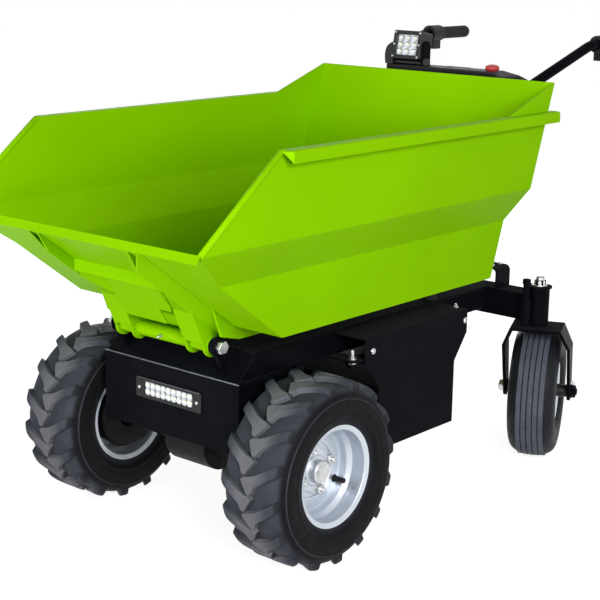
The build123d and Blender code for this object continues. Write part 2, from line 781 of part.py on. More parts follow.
tray_line = [
    (BOX_TOP_X[0], RAIL_Z[0]),
    (BOX_TOP_X[0], BOX_SHOULDER_Z),
    (BOX_LOW_X[0], BOX_WAIST_Z),
    (BOX_LOW_X[0], BOX_LOW_Z),
    (BOX_LOW_X[1], BOX_LOW_Z),
    (BOX_LOW_X[1], BOX_WAIST_Z),
    (BOX_TOP_X[1], BOX_SHOULDER_Z),
    (BOX_TOP_X[1], RAIL_Z[0]),
]
with BuildPart() as battery_tray:
    with BuildSketch(Plane.XZ):
        Polygon(*bent_sheet(tray_line, SHEET_T), align=None)
    extrude(amount=BOX_HALF - SHEET_T, both=True)
keep(battery_tray.part, "battery_tray")

with BuildPart() as battery_pack:
    with BuildSketch(Plane.XZ):
        Polygon(
            (BOX_LOW_X[0] + BATTERY_GAP, BOX_LOW_Z + SHEET_T),
            (BOX_LOW_X[1] - BATTERY_GAP, BOX_LOW_Z + SHEET_T),
            (BOX_LOW_X[1] - BATTERY_GAP, BATTERY_TOP_Z),
            (BOX_LOW_X[0] + BATTERY_GAP, BATTERY_TOP_Z),
            align=None,
        )
    extrude(amount=BOX_HALF - SHEET_T - BATTERY_GAP, both=True)
keep(battery_pack.part, "battery_pack")

# Rubber buffers on the rails, under the tub's ribs
rail_mid = (RAIL_Y[0] + RAIL_Y[1]) / 2
with BuildPart() as rest_buffer:
    with BuildSketch(Plane.XY.offset(RAIL_Z[1])):
        with Locations((BUFFER_X, rail_mid)):
            Circle(BUFFER_R)
    extrude(amount=RIB_Z - RUN - RAIL_Z[1])
keep(both_sides(rest_buffer.part), "rest_buffers")

# Handlebar base, a strap bent over the rear beam
with BuildPart() as handle_base:
    with BuildSketch(Plane.YZ.offset(CASTER_X - BEAM_W / 2)):
        Polygon(
            *bent_sheet(
                [
                    (BASE_HALF, BEAM_Z[1]),
                    (BASE_HALF, BASE_TOP_Z),
                    (-BASE_HALF, BASE_TOP_Z),
                    (-BASE_HALF, BEAM_Z[1]),
                ],
                BASE_T,
            ),
            align=None,
        )
    extrude(amount=BEAM_W)
    corners = handle_base.edges().filter_by(Axis.X).group_by(Axis.Z)
    fillet(corners[-1], radius=BASE_BEND_R)
    fillet(corners[-2], radius=BASE_BEND_R - BASE_T)
keep(handle_base.part, "handle_base")


def make_handle_tube():
    """Bent tube: upright on the base, then back and out to a level grip."""
    with BuildPart() as tube:
        with BuildLine() as route:
            FilletPolyline(
                (CASTER_X, UPRIGHT_Y, BASE_TOP_Z),
                (CASTER_X, UPRIGHT_Y, GRIP_Z - UPRIGHT_DROP),
                (GRIP_BEND_X, GRIP_Y, GRIP_Z),
                (GRIP_X[0] + GRIP_END_T, GRIP_Y, GRIP_Z),
                radius=TUBE_BEND_R,
            )
        with BuildSketch(Plane(origin=route.line @ 0, z_dir=route.line % 0)):
            Circle(TUBE_R)
        sweep()
    return tube.part


keep(both_sides(make_handle_tube()), "handle_tubes")

# Grips pulled over the tube ends, and the control housings clamped in front of them
with BuildPart() as grip:
    for x0, x1, radius in (
        (GRIP_X[0], GRIP_X[1], GRIP_R),
        (GRIP_X[1] - GRIP_COLLAR_T, GRIP_X[1], GRIP_COLLAR_R),
    ):
        with BuildSketch(Plane.YZ.offset(x0)):
            with Locations((GRIP_Y, GRIP_Z)):
                Circle(radius)
        extrude(amount=x1 - x0)
    with BuildSketch(Plane.YZ.offset(GRIP_X[0] + GRIP_END_T)):
        with Locations((GRIP_Y, GRIP_Z)):
            Circle(TUBE_R + SEAT)
    extrude(amount=GRIP_X[1] - GRIP_X[0], mode=Mode.SUBTRACT)
keep(both_sides(grip.part), "grips")

with BuildPart() as control_housing:
    with BuildSketch(Plane.YZ.offset(HOUSING_X[0])):
        with Locations((GRIP_Y, GRIP_Z)):
            Circle(HOUSING_R)
    extrude(amount=HOUSING_X[1] - HOUSING_X[0])
    with BuildSketch(Plane.YZ.offset(SWITCH_X[0])):
        with Locations((GRIP_Y, GRIP_Z - SWITCH_DROP / 2)):
            Rectangle(2 * SWITCH_HALF, SWITCH_DROP)
    extrude(amount=SWITCH_X[1] - SWITCH_X[0])
    with BuildSketch(Plane.YZ.offset(HOUSING_X[0])):
        with Locations((GRIP_Y, GRIP_Z)):
            Circle(TUBE_R + SEAT)
    extrude(amount=HOUSING_X[1] - HOUSING_X[0], mode=Mode.SUBTRACT)
keep(both_sides(control_housing.part), "control_housings")

# Console between the uprights, with a wide panel on top that falls away towards the operator
panel_under_z = PANEL_TOP_Z - PANEL_T
with BuildPart() as console:
    with BuildSketch(Plane.XZ):
        Polygon(
            (CONSOLE_X[0], panel_under_z - CONSOLE_H),
            (CONSOLE_X[1], panel_under_z - CONSOLE_H),
            (CONSOLE_X[1], panel_under_z),
            (CONSOLE_X[0], panel_under_z),
            align=None,
        )
    extrude(amount=UPRIGHT_Y - TUBE_R - RUN, both=True)
keep(console.part, "console")

with BuildPart() as console_panel:
    with BuildSketch(Plane.XZ):
        Polygon(
            (PANEL_X[1], panel_under_z),
            (PANEL_X[1], PANEL_TOP_Z),
            (CONSOLE_X[0], PANEL_TOP_Z),
            (PANEL_X[0], PANEL_TOP_Z - PANEL_FALL),
            (PANEL_X[0], panel_under_z - PANEL_FALL),
            (CONSOLE_X[0], panel_under_z),
            align=None,
        )
    extrude(amount=PANEL_HALF, both=True)
    fillet(console_panel.edges().filter_by(Axis.Z), radius=PANEL_CORNER_R)
keep(console_panel.part, "console_panel")

# Red mushroom stop button
with BuildPart() as stop_button:
    with BuildSketch(Plane.XY.offset(PANEL_TOP_Z)):
        with Locations((BUTTON_X, BUTTON_Y)):
            Circle(BUTTON_STEM_R)
    extrude(amount=BUTTON_STEM_H)
    with BuildSketch(Plane.XY.offset(PANEL_TOP_Z + BUTTON_STEM_H)):
        with Locations((BUTTON_X, BUTTON_Y)):
            Circle(BUTTON_R)
    extrude(amount=BUTTON_H - BUTTON_STEM_H)
    chamfer(stop_button.faces().sort_by(Axis.Z)[-1].edges(), length=BUTTON_EDGE)
keep(stop_button.part, "stop_button")

# Work lamp: a tilted box with a recessed lens, in a U bracket on the panel
lamp_plane = Plane(
    origin=(LAMP_X, LAMP_Y, LAMP_Z),
    x_dir=(0, 1, 0),
    z_dir=(cos(radians(LAMP_TILT)), 0, sin(radians(LAMP_TILT))),
)
with BuildPart() as work_lamp_housing:
    with BuildSketch(lamp_plane.offset(-LAMP_D / 2)):
        RectangleRounded(LAMP_W, LAMP_H, LAMP_EAR_T)
    extrude(amount=LAMP_D)
    with BuildSketch(lamp_plane.offset(LAMP_D / 2)):
        Rectangle(LAMP_LENS_W, LAMP_LENS_H)
    extrude(amount=-2 * LAMP_LENS_T, mode=Mode.SUBTRACT)
keep(work_lamp_housing.part, "work_lamp_housing")

with BuildPart() as work_lamp_lens:
    with BuildSketch(lamp_plane.offset(LAMP_D / 2 - 2 * LAMP_LENS_T)):
        Rectangle(LAMP_LENS_W - 2 * SEAT, LAMP_LENS_H - 2 * SEAT)
    extrude(amount=LAMP_LENS_T)
keep(work_lamp_lens.part, "work_lamp_lens")

ear_out = LAMP_W / 2 + LAMP_EAR_GAP + LAMP_EAR_T
with BuildPart() as work_lamp_bracket:
    with BuildSketch(Plane.XY.offset(PANEL_TOP_Z)):
        with Locations((LAMP_X, LAMP_Y)):
            Rectangle(LAMP_EAR_W, 2 * ear_out)
    extrude(amount=LAMP_EAR_T)
    for y in (LAMP_Y + ear_out, LAMP_Y - ear_out + LAMP_EAR_T):
        with BuildSketch(side_plane(y)):
            Polygon(
                (LAMP_X - LAMP_EAR_W / 2, PANEL_TOP_Z),
                (LAMP_X + LAMP_EAR_W / 2, PANEL_TOP_Z),
                (LAMP_X + LAMP_EAR_W / 2, LAMP_Z),
                (LAMP_X - LAMP_EAR_W / 2, LAMP_Z),
                align=None,
            )
            with Locations((LAMP_X, LAMP_Z)):
                Circle(LAMP_EAR_W / 2)
        extrude(amount=LAMP_EAR_T)
    for y in (LAMP_Y + ear_out - LAMP_EAR_T, LAMP_Y - LAMP_W / 2):
        with BuildSketch(side_plane(y)):
            with Locations((LAMP_X, LAMP_Z)):
                Circle(LAMP_BOLT_R)
        extrude(amount=LAMP_EAR_GAP)
keep(work_lamp_bracket.part, "work_lamp_bracket")


def wheel_plane(x, y, z, outward):
    """A plane for a wheel's section: local x is the radius upwards, local y is outward along the axle."""
    return Plane(origin=(x, y, z), x_dir=(0, 0, 1), z_dir=Vector(0, 0, 1).cross(Vector(*outward)))


def wheel_axis(x, y, z, outward):
    """The axle line of a wheel."""
    return Axis((x, y, z), outward)


def tyre_section(seat_r, flange_r, rim_w, top_r, width):
    """Corners of a tyre's section: radius and distance from the middle plane."""
    bead = rim_w / 2 - RIM_T - SEAT
    half = [(seat_r + SEAT, bead - RIM_T), (flange_r + RIM_T / 2, bead)]
    half += [(flange_r + up * (top_r - flange_r), out * width / 2) for up, out in TYRE_SHAPE]
    return half + [(r, -w) for r, w in reversed(half)]


def faceted_ring(section, sides, x, y, z, outward):
    """A ring of flat facets round a wheel's axle, with one facet level at the bottom."""
    up, out = Vector(0, 0, 1), Vector(*outward)
    along = out.cross(up)

    def corner(step, point):
        r, w = point
        angle = (2 * step + 1) * pi / sides
        spoke = (up * -cos(angle) + along * sin(angle)) * (r / cos(pi / sides))
        return Vector(x, y, z) + out * w + spoke

    facets = []
    for step in range(sides):
        for a, b in zip(section, section[1:] + section[:1]):
            edge = [corner(step, a), corner(step + 1, a), corner(step + 1, b), corner(step, b)]
            facets.append(Face(Wire.make_polygon(edge, close=True)))
    return Solid(Shell(facets))


FRONT_WHEEL = (0, TRACK / 2, TYRE_R, (0, 1, 0))


def make_front_tyre():
    """Front tyre with two staggered rows of lugs, the tip of one of them on the ground."""
    carcass_r = TYRE_R - LUG_H
    lean_mid = (LUG_START + LUG_FLAT) / 2
    tip = LUG_LEAN * (lean_mid - LUG_START) + LUG_T[0] / 2
    height = sqrt(TYRE_R**2 - tip**2)
    root_r = height - LUG_FOOT_DROP - LUG_ROOT
    start = LUG_LEAN * (LUG_START - lean_mid)
    end = LUG_LEAN * (TYRE_W / 2 - lean_mid)
    tread = Plane(origin=(0, TRACK / 2, TYRE_R), x_dir=(0, 1, 0), z_dir=(1, 0, 0))
    across_tread = Plane(origin=(0, TRACK / 2, TYRE_R), x_dir=(0, 1, 0), z_dir=(0, 0, -1))
    with BuildPart() as lug:
        with BuildSketch(tread.offset(root_r)):
            Polygon(
                (LUG_START, start - LUG_T[0] / 2),
                (TYRE_W / 2, end - LUG_T[1] / 2),
                (TYRE_W / 2, end + LUG_T[1] / 2),
                (LUG_START, start + LUG_T[0] / 2),
                align=None,
            )
        extrude(amount=height - root_r)
        with BuildSketch(across_tread):
            Polygon(
                (LUG_START, root_r),
                (LUG_START, height),
                (LUG_FLAT, height),
                (LUG_SHOULDER, height - LUG_SHOULDER_DROP),
                (TYRE_W / 2, height - LUG_FOOT_DROP),
                (TYRE_W / 2, root_r),
                align=None,
            )
        extrude(amount=TYRE_W, both=True, mode=Mode.INTERSECT)
    with BuildPart() as inner_lug:
        mirror(lug.part, about=side_plane(TRACK / 2))
    first = 90 - degrees(atan2(tip, height))
    pitch = 360 / LUG_COUNT
    section = tyre_section(RIM_SEAT_R, RIM_FLANGE_R, RIM_W, carcass_r, TYRE_W)
    with BuildPart() as tyre:
        add(faceted_ring(section, TYRE_SIDES, *FRONT_WHEEL))
        for k in range(LUG_COUNT):
            add(lug.part.rotate(wheel_axis(*FRONT_WHEEL), first + k * pitch))
            add(inner_lug.part.rotate(wheel_axis(*FRONT_WHEEL), first + (k + 0.5) * pitch))
    return tyre.part


def make_front_rim():
    """Front rim: barrel with two flanges, a deep-set disc, and a hub on the spindle."""
    edge = RIM_W / 2
    well_r = RIM_SEAT_R - RIM_WELL_DEPTH
    disc_r = well_r - RIM_T / 2
    barrel = [
        (RIM_FLANGE_R, -edge),
        (RIM_SEAT_R, -edge + RIM_T),
        (RIM_SEAT_R, -edge / 2),
        (well_r, -edge / 3),
        (well_r, edge / 3),
        (RIM_SEAT_R, edge / 2),
        (RIM_SEAT_R, edge - RIM_T),
        (RIM_FLANGE_R, edge),
    ]
    hub_in = AXLE_TUBE_HALF + RUN - TRACK / 2
    cap_w = edge - HUB_CAP_INSET
    with BuildPart() as rim:
        with BuildSketch(wheel_plane(*FRONT_WHEEL)):
            Polygon(*bent_sheet(barrel, RIM_T), align=None)
            Polygon((0, 0), (disc_r, 0), (disc_r, DISC_T), (0, DISC_T), align=None)
            Polygon((0, hub_in), (HUB_NECK_R, hub_in), (HUB_NECK_R, 0), (0, 0), align=None)
            Polygon((0, 0), (HUB_CAP_R, 0), (HUB_CAP_R, cap_w), (0, cap_w), align=None)
        revolve(axis=wheel_axis(*FRONT_WHEEL))
        with BuildSketch(side_plane(TRACK / 2)):
            with Locations((0, TYRE_R)):
                Circle(SPINDLE_R + RUN)
        extrude(amount=TRACK / 2 - AXLE_TUBE_HALF, mode=Mode.SUBTRACT)
    return rim.part


keep_pair(make_front_tyre, "front_tyre")
keep_pair(make_front_rim, "front_rim")

# The left caster trails behind its pivot, with its tail swung in towards the machine's middle
trail = Vector(-cos(radians(CASTER_SWING)), -sin(radians(CASTER_SWING)), 0)
across = Vector(-trail.Y, trail.X, 0) * -1
PIVOT = Vector(CASTER_X, CASTER_Y, 0)
caster_hub = PIVOT + trail * CASTER_TRAIL + Vector(0, 0, CASTER_R)
CASTER_WHEEL = (caster_hub.X, caster_hub.Y, caster_hub.Z, tuple(across))
CASTER_FACE = Plane(origin=PIVOT, x_dir=across, z_dir=across.cross(Vector(0, 0, 1)))
CASTER_SIDE = Plane(origin=PIVOT, x_dir=trail, z_dir=trail.cross(Vector(0, 0, 1)))
FORK_REACH = CASTER_TRAIL + FORK_EYE_R


def make_caster_fork():
    """Fork bent over the wheel, with its kingpin, cap and nut."""
    bend = [
        (FORK_HALF, CASTER_R - FORK_EYE_R),
        (FORK_HALF, FORK_SHOULDER_Z),
        (FORK_TOP_HALF, FORK_TOP_Z),
    ]
    cap_z = PIVOT_TUBE_Z[1] + RUN
    washer_z = cap_z + PIVOT_CAP_T
    nut_z = washer_z + WASHER_T
    with BuildPart() as fork:
        with BuildSketch(CASTER_FACE):
            Polygon(*bent_sheet(mirrored(bend), FORK_T), align=None)
        extrude(amount=FORK_REACH, both=True)
        with BuildSketch(CASTER_SIDE):
            Polygon(
                (-FORK_TOP_REACH[0], FORK_TOP_Z),
                (FORK_TOP_REACH[1], FORK_TOP_Z),
                (CASTER_TRAIL + FORK_EYE_R, CASTER_R),
                (CASTER_TRAIL - FORK_EYE_R, CASTER_R),
                (-FORK_ARM_REACH, FORK_SHOULDER_Z),
                align=None,
            )
            with Locations((CASTER_TRAIL, CASTER_R)):
                Circle(FORK_EYE_R)
        extrude(amount=FORK_HALF, both=True, mode=Mode.INTERSECT)
        with BuildSketch(CASTER_SIDE):
            with Locations((CASTER_TRAIL, CASTER_R)):
                Circle(CASTER_AXLE_R + SEAT)
        extrude(amount=FORK_HALF, both=True, mode=Mode.SUBTRACT)
        for z0, z1, radius in (
            (FORK_TOP_Z, PIVOT_TUBE_Z[0] - RUN, PIVOT_TUBE_R),
            (FORK_TOP_Z, cap_z, KINGPIN_R),
            (cap_z, washer_z, PIVOT_CAP_R),
            (washer_z, nut_z, WASHER_R),
            (nut_z, nut_z + NUT_T + KINGPIN_STUD, CASTER_AXLE_R),
        ):
            with BuildSketch(Plane.XY.offset(z0)):
                with Locations((CASTER_X, CASTER_Y)):
                    Circle(radius)
            extrude(amount=z1 - z0)
        with BuildSketch(Plane.XY.offset(nut_z)):
            with Locations((CASTER_X, CASTER_Y)):
                RegularPolygon(NUT_R, 6)
        extrude(amount=NUT_T)
    return fork.part


def make_caster_axle():
    """Axle bolt through the fork, with a nut at each end."""
    reach = FORK_HALF + NUT_T + AXLE_END
    with BuildPart() as axle:
        with BuildSketch(CASTER_SIDE.offset(-reach)):
            with Locations((CASTER_TRAIL, CASTER_R)):
                Circle(CASTER_AXLE_R)
        extrude(amount=2 * reach)
        for start in (FORK_HALF, -FORK_HALF - NUT_T):
            with BuildSketch(CASTER_SIDE.offset(start)):
                with Locations((CASTER_TRAIL, CASTER_R)):
                    RegularPolygon(AXLE_NUT_R, 6)
            extrude(amount=NUT_T)
    return axle.part


def make_caster_rim():
    """Caster rim: barrel, disc and hub."""
    edge = CASTER_RIM_W / 2
    hub_half = FORK_HALF - FORK_T - RUN
    barrel = [
        (CASTER_FLANGE_R, -edge),
        (CASTER_SEAT_R, -edge + RIM_T),
        (CASTER_SEAT_R, edge - RIM_T),
        (CASTER_FLANGE_R, edge),
    ]
    with BuildPart() as rim:
        with BuildSketch(wheel_plane(*CASTER_WHEEL)):
            Polygon(*bent_sheet(barrel, RIM_T), align=None)
            Polygon(
                (CASTER_AXLE_R + RUN, -DISC_T / 2),
                (CASTER_SEAT_R - RIM_T / 2, -DISC_T / 2),
                (CASTER_SEAT_R - RIM_T / 2, DISC_T / 2),
                (CASTER_AXLE_R + RUN, DISC_T / 2),
                align=None,
            )
            Polygon(
                (CASTER_AXLE_R + RUN, -hub_half),
                (CASTER_HUB_R, -hub_half),
                (CASTER_HUB_R, hub_half),
                (CASTER_AXLE_R + RUN, hub_half),
                align=None,
            )
        revolve(axis=wheel_axis(*CASTER_WHEEL))
    return rim.part


def make_caster_tyre():
    """Caster tyre, a plain ring with one facet flat on the ground."""
    section = tyre_section(CASTER_SEAT_R, CASTER_FLANGE_R, CASTER_RIM_W, CASTER_R, CASTER_W)
    return faceted_ring(section, CASTER_SIDES, *CASTER_WHEEL)


keep_pair(make_caster_fork, "caster_fork")
keep_pair(make_caster_axle, "caster_axle")
keep_pair(make_caster_rim, "caster_rim")
keep_pair(make_caster_tyre, "caster_tyre")
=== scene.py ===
import json
from math import asin, cos, pi, radians, sin

import bmesh
import bpy
from mathutils import Matrix, Vector


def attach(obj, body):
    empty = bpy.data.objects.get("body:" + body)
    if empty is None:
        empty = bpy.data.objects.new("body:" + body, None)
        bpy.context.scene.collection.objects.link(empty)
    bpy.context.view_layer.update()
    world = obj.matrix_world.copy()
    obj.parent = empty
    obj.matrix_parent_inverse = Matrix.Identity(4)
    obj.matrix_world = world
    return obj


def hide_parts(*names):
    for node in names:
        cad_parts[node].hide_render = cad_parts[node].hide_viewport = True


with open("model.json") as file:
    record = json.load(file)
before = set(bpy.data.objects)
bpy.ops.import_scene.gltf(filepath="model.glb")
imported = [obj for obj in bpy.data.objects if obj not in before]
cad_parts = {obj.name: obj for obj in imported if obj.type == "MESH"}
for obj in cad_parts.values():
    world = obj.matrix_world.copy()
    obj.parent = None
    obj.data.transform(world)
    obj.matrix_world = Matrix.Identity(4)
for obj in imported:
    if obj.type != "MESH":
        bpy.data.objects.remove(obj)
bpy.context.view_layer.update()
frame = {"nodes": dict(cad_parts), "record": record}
NODES = frame["nodes"]
scene = bpy.context.scene

# Stations along the machine are given in millimetres from the front axle, as in the part's source
AXLE_TO_MID = 472.0
TYRE_R = 202.5
HALF_TRACK = 306.0
HINGE_X, HINGE_Z = 112.0, 458.0
CASTER_X, CASTER_Y, CASTER_R = -851.0, 320.0, 170.0
CASTER_TRAIL = 0.07
CASTER_SWING = radians(25.0)
SIDES = (("left", 1), ("right", -1))
BOTH = (1, -1)
UP = (0, 0, 1)


def P(x, y, z):
    """A point in millimetres from the front axle, as metres in the row frame."""
    return Vector(((x + AXLE_TO_MID) / 1000, y / 1000, z / 1000))


def metres(profile):
    """A profile of (radius, height) in millimetres, as metres."""
    return [(r / 1000, w / 1000) for r, w in profile]


# Materials


class Shader:
    """A material's nodes, with short ways to add the usual ones."""

    def __init__(self, name):
        self.mat = bpy.data.materials.new(name)
        self.mat.use_nodes = True
        self.nodes = self.mat.node_tree.nodes
        self.links = self.mat.node_tree.links
        self.bsdf = self.nodes["Principled BSDF"]
        self.coords = self.nodes.new("ShaderNodeTexCoord").outputs["Object"]

    def put(self, **values):
        for key, value in values.items():
            self.bsdf.inputs[key.replace("_", " ")].default_value = value
        return self

    def noise(self, scale, detail=3.0, rough=0.55):
        node = self.nodes.new("ShaderNodeTexNoise")
        node.inputs["Scale"].default_value = scale
        node.inputs["Detail"].default_value = detail
        node.inputs["Roughness"].default_value = rough
        self.links.new(self.coords, node.inputs["Vector"])
        return node.outputs["Fac"]

    def cells(self, scale):
        node = self.nodes.new("ShaderNodeTexVoronoi")
        node.feature = "F1"
        node.inputs["Scale"].default_value = scale
        self.links.new(self.coords, node.inputs["Vector"])
        return node.outputs["Distance"]

    def ramp(self, fac, low, high, a, b):
        node = self.nodes.new("ShaderNodeMapRange")
        node.inputs["From Min"].default_value = low
        node.inputs["From Max"].default_value = high
        node.inputs["To Min"].default_value = a
        node.inputs["To Max"].default_value = b
        self.links.new(fac, node.inputs["Value"])
        return node.outputs["Result"]

    def tone(self, scale, detail=3.0, rough=0.55, low=0.3, high=0.7):
        """Noise spread over 0 to 1."""
        return self.ramp(self.noise(scale, detail, rough), low, high, 0.0, 1.0)

    def mix(self, fac, a, b):
        """Two colours mixed, through the colour sockets of a Mix node (inputs 6 and 7, output 2)."""
        node = self.nodes.new("ShaderNodeMix")
        node.data_type = "RGBA"
        self.links.new(fac, node.inputs["Factor"])
        for socket, value in ((node.inputs[6], a), (node.inputs[7], b)):
            if isinstance(value, tuple):
                socket.default_value = (*value, 1.0)
            else:
                self.links.new(value, socket)
        return node.outputs[2]

    def axis(self, vector, name):
        node = self.nodes.new("ShaderNodeSeparateXYZ")
        self.links.new(vector, node.inputs["Vector"])
        return node.outputs[name]

    def off(self, value, middle):
        """Distance of a value from a middle value."""
        node = self.nodes.new("ShaderNodeMath")
        node.operation = "SUBTRACT"
        node.inputs[1].default_value = middle
        size = self.nodes.new("ShaderNodeMath")
        size.operation = "ABSOLUTE"
        self.links.new(value, node.inputs[0])
        self.links.new(node.outputs[0], size.inputs[0])
        return size.outputs[0]

    def larger(self, a, b):
        node = self.nodes.new("ShaderNodeMath")
        node.operation = "MAXIMUM"
        self.links.new(a, node.inputs[0])
        self.links.new(b, node.inputs[1])
        return node.outputs[0]

    def colour(self, output):
        self.links.new(output, self.bsdf.inputs["Base Color"])
        return self

    def rough(self, output):
        self.links.new(output, self.bsdf.inputs["Roughness"])
        return self

    def bump(self, *layers):
        normal = None
        for height, strength, distance in layers:
            node = self.nodes.new("ShaderNodeBump")
            node.inputs["Strength"].default_value = strength
            node.inputs["Distance"].default_value = distance
            self.links.new(height, node.inputs["Height"])
            if normal is not None:
                self.links.new(normal, node.inputs["Normal"])
            normal = node.outputs["Normal"]
        self.links.new(normal, self.bsdf.inputs["Normal"])
        return self


def shade(colour, k):
    return tuple(c * k for c in colour)


def green_paint():
    """Lime-green powder coat: faint orange peel, slight change of tone, thin patches of dust."""
    s = Shader("tub_paint")
    base = (0.262, 0.600, 0.0)
    tone = s.tone(2.3, 2.0)
    paint = s.mix(tone, shade(base, 0.93), shade(base, 1.05))
    dust = s.ramp(s.noise(19.0, 6.0, 0.7), 0.62, 0.8, 0.0, 0.16)
    s.colour(s.mix(dust, paint, (0.28, 0.46, 0.03)))
    s.rough(s.ramp(s.noise(34.0, 4.0), 0.3, 0.75, 0.36, 0.5))
    s.bump((s.noise(420.0, 2.0), 0.10, 0.0005), (s.noise(60.0, 2.0), 0.03, 0.001))
    return s.put(Specular_IOR_Level=0.02).mat


def black_paint():
    """Satin black powder coat with fine texture and rubbed patches; faces that look up are painted
    lighter, partly dust and partly a painted sheen of the light falling on top faces.
    """
    s = Shader("frame_paint")
    tone = s.tone(7.0, 4.0, 0.6, 0.35)
    paint = s.mix(tone, (0.0026, 0.0029, 0.0042), (0.0056, 0.0062, 0.0092))
    rub = s.ramp(s.noise(46.0, 7.0, 0.75), 0.64, 0.78, 0.0, 0.14)
    # Faces that look up are painted lighter: partly dust, partly a painted sheen for the light on top
    # faces.
    up = s.axis(s.nodes.new("ShaderNodeNewGeometry").outputs["Normal"], "Z")
    tilted, level = 0.8, 0.97
    dust = s.ramp(up, tilted, level, 0.0, 0.6)
    s.colour(s.mix(dust, s.mix(rub, paint, (0.02, 0.021, 0.024)), (0.032, 0.031, 0.036)))
    dull = s.ramp(up, tilted, level, 0.0, 0.95)
    s.rough(s.larger(s.ramp(s.noise(30.0, 4.0), 0.3, 0.75, 0.34, 0.5), dull))
    s.bump((s.noise(700.0, 2.0), 0.16, 0.0004))
    return s.put(Specular_IOR_Level=0.02).mat


def zinc_plate():
    s = Shader("zinc")
    tone = s.tone(120.0, 4.0)
    s.colour(s.mix(tone, (0.50, 0.51, 0.53), (0.72, 0.72, 0.71)))
    s.rough(s.ramp(s.noise(260.0, 3.0), 0.3, 0.7, 0.24, 0.42))
    s.bump((s.noise(900.0, 2.0), 0.12, 0.0003))
    return s.put(Metallic=1.0).mat


def silver_wheel():
    """Silver wheel paint with fine flake."""
    s = Shader("wheel_silver")
    flake = s.ramp(s.cells(2600.0), 0.1, 0.7, 0.0, 1.0)
    tone = s.mix(flake, (0.53, 0.57, 0.63), (0.67, 0.715, 0.78))
    film = s.ramp(s.noise(24.0, 5.0, 0.65), 0.58, 0.8, 0.0, 0.3)
    s.colour(s.mix(film, tone, (0.42, 0.43, 0.45)))
    s.rough(s.ramp(s.noise(40.0, 3.0), 0.3, 0.7, 0.3, 0.42))
    s.bump((s.noise(500.0, 2.0), 0.06, 0.0004))
    return s.put(Metallic=0.75).mat


def tyre_rubber(name, dark, pale, dusty, cover):
    """Tyre rubber with a fine skin and patches of dry dust."""
    s = Shader(name)
    tone = s.tone(16.0, 5.0, 0.65, high=0.75)
    dust = s.ramp(s.noise(90.0, 6.0, 0.7), 0.5, 0.8, 0.0, cover)
    s.colour(s.mix(dust, s.mix(tone, dark, pale), dusty))
    s.rough(s.ramp(s.noise(50.0, 4.0), 0.3, 0.75, 0.5, 0.7))
    s.bump((s.noise(480.0, 4.0), 0.25, 0.0006))
    return s.put(Specular_IOR_Level=0.16).mat


def banded_tyre(name, pale, mid, wall):
    """Front tyre rubber: pale over the middle of the tread, partly dust and partly painted light on the
    lit crown; darker towards the shoulders, painted shade where the lugs turn down; black on the side
    wall.
    """
    s = Shader(name)
    pale_half, tread_half = 0.056, 0.0685
    across = s.off(s.off(s.axis(s.coords, "Y"), 0.0), HALF_TRACK / 1000)
    tone = s.tone(26.0, 5.0, 0.65, high=0.75)
    # Pale crown: partly dust, partly painted light; the darker band towards the shoulders is painted
    # shade.
    pale_crown = s.mix(tone, shade(pale, 0.84), shade(pale, 1.14))
    shoulder_shade = s.mix(tone, shade(mid, 0.8), shade(mid, 1.2))
    tread_tone = s.mix(s.ramp(across, 0.020, pale_half, 0.0, 1.0), pale_crown, shoulder_shade)
    s.colour(s.mix(s.ramp(across, tread_half, 0.0750, 0.0, 1.0), tread_tone, wall))
    s.rough(s.ramp(s.noise(50.0, 4.0), 0.3, 0.75, 0.55, 0.75))
    s.bump((s.noise(480.0, 4.0), 0.25, 0.0006))
    return s.put(Specular_IOR_Level=0.1).mat


def painted_edge_highlight():
    """Light grey on black paint along a fold: a painted highlight of the rounded fold."""
    s = Shader("painted_edge_highlight")
    # The grey tone paints the highlight of a rounded edge.
    tone = s.tone(85.0, 6.0, 0.75, 0.35)
    s.colour(s.mix(tone, (0.05, 0.052, 0.06), (0.20, 0.205, 0.22)))
    s.rough(s.ramp(s.noise(120.0, 3.0), 0.3, 0.7, 0.36, 0.5))
    s.bump((s.noise(600.0, 2.0), 0.12, 0.0003))
    return s.mat


def moulded(name, a, b, rough, grain, strength):
    """Moulded plastic or rubber with a fine leather-like grain."""
    s = Shader(name)
    tone = s.tone(11.0, 4.0)
    s.colour(s.mix(tone, a, b))
    s.rough(s.ramp(s.noise(38.0, 3.0), 0.3, 0.75, rough - 0.07, rough + 0.08))
    s.bump((s.cells(grain), strength, 0.0005))
    return s.put(Specular_IOR_Level=0.25).mat


def gloss_red():
    s = Shader("stop_red")
    tone = s.tone(60.0, 3.0)
    s.colour(s.mix(tone, (0.46, 0.030, 0.030), (0.56, 0.045, 0.042)))
    s.rough(s.ramp(s.noise(90.0, 3.0), 0.3, 0.7, 0.2, 0.34))
    s.bump((s.noise(500.0, 2.0), 0.04, 0.0003))
    return s.mat


def cast_iron():
    s = Shader("axle_iron")
    tone = s.tone(22.0, 5.0)
    s.colour(s.mix(tone, (0.004, 0.004, 0.0045), (0.009, 0.009, 0.010)))
    s.rough(s.ramp(s.noise(60.0, 3.0), 0.3, 0.7, 0.45, 0.65))
    s.bump((s.noise(260.0, 4.0), 0.3, 0.0012))
    return s.put(Specular_IOR_Level=0.12).mat


def cast_alloy():
    s = Shader("lamp_body")
    tone = s.tone(30.0, 4.0)
    s.colour(s.mix(tone, (0.010, 0.010, 0.011), (0.018, 0.018, 0.020)))
    s.rough(s.ramp(s.noise(50.0, 3.0), 0.3, 0.7, 0.32, 0.46))
    s.bump((s.noise(620.0, 3.0), 0.2, 0.0005))
    return s.put(Metallic=0.3).mat


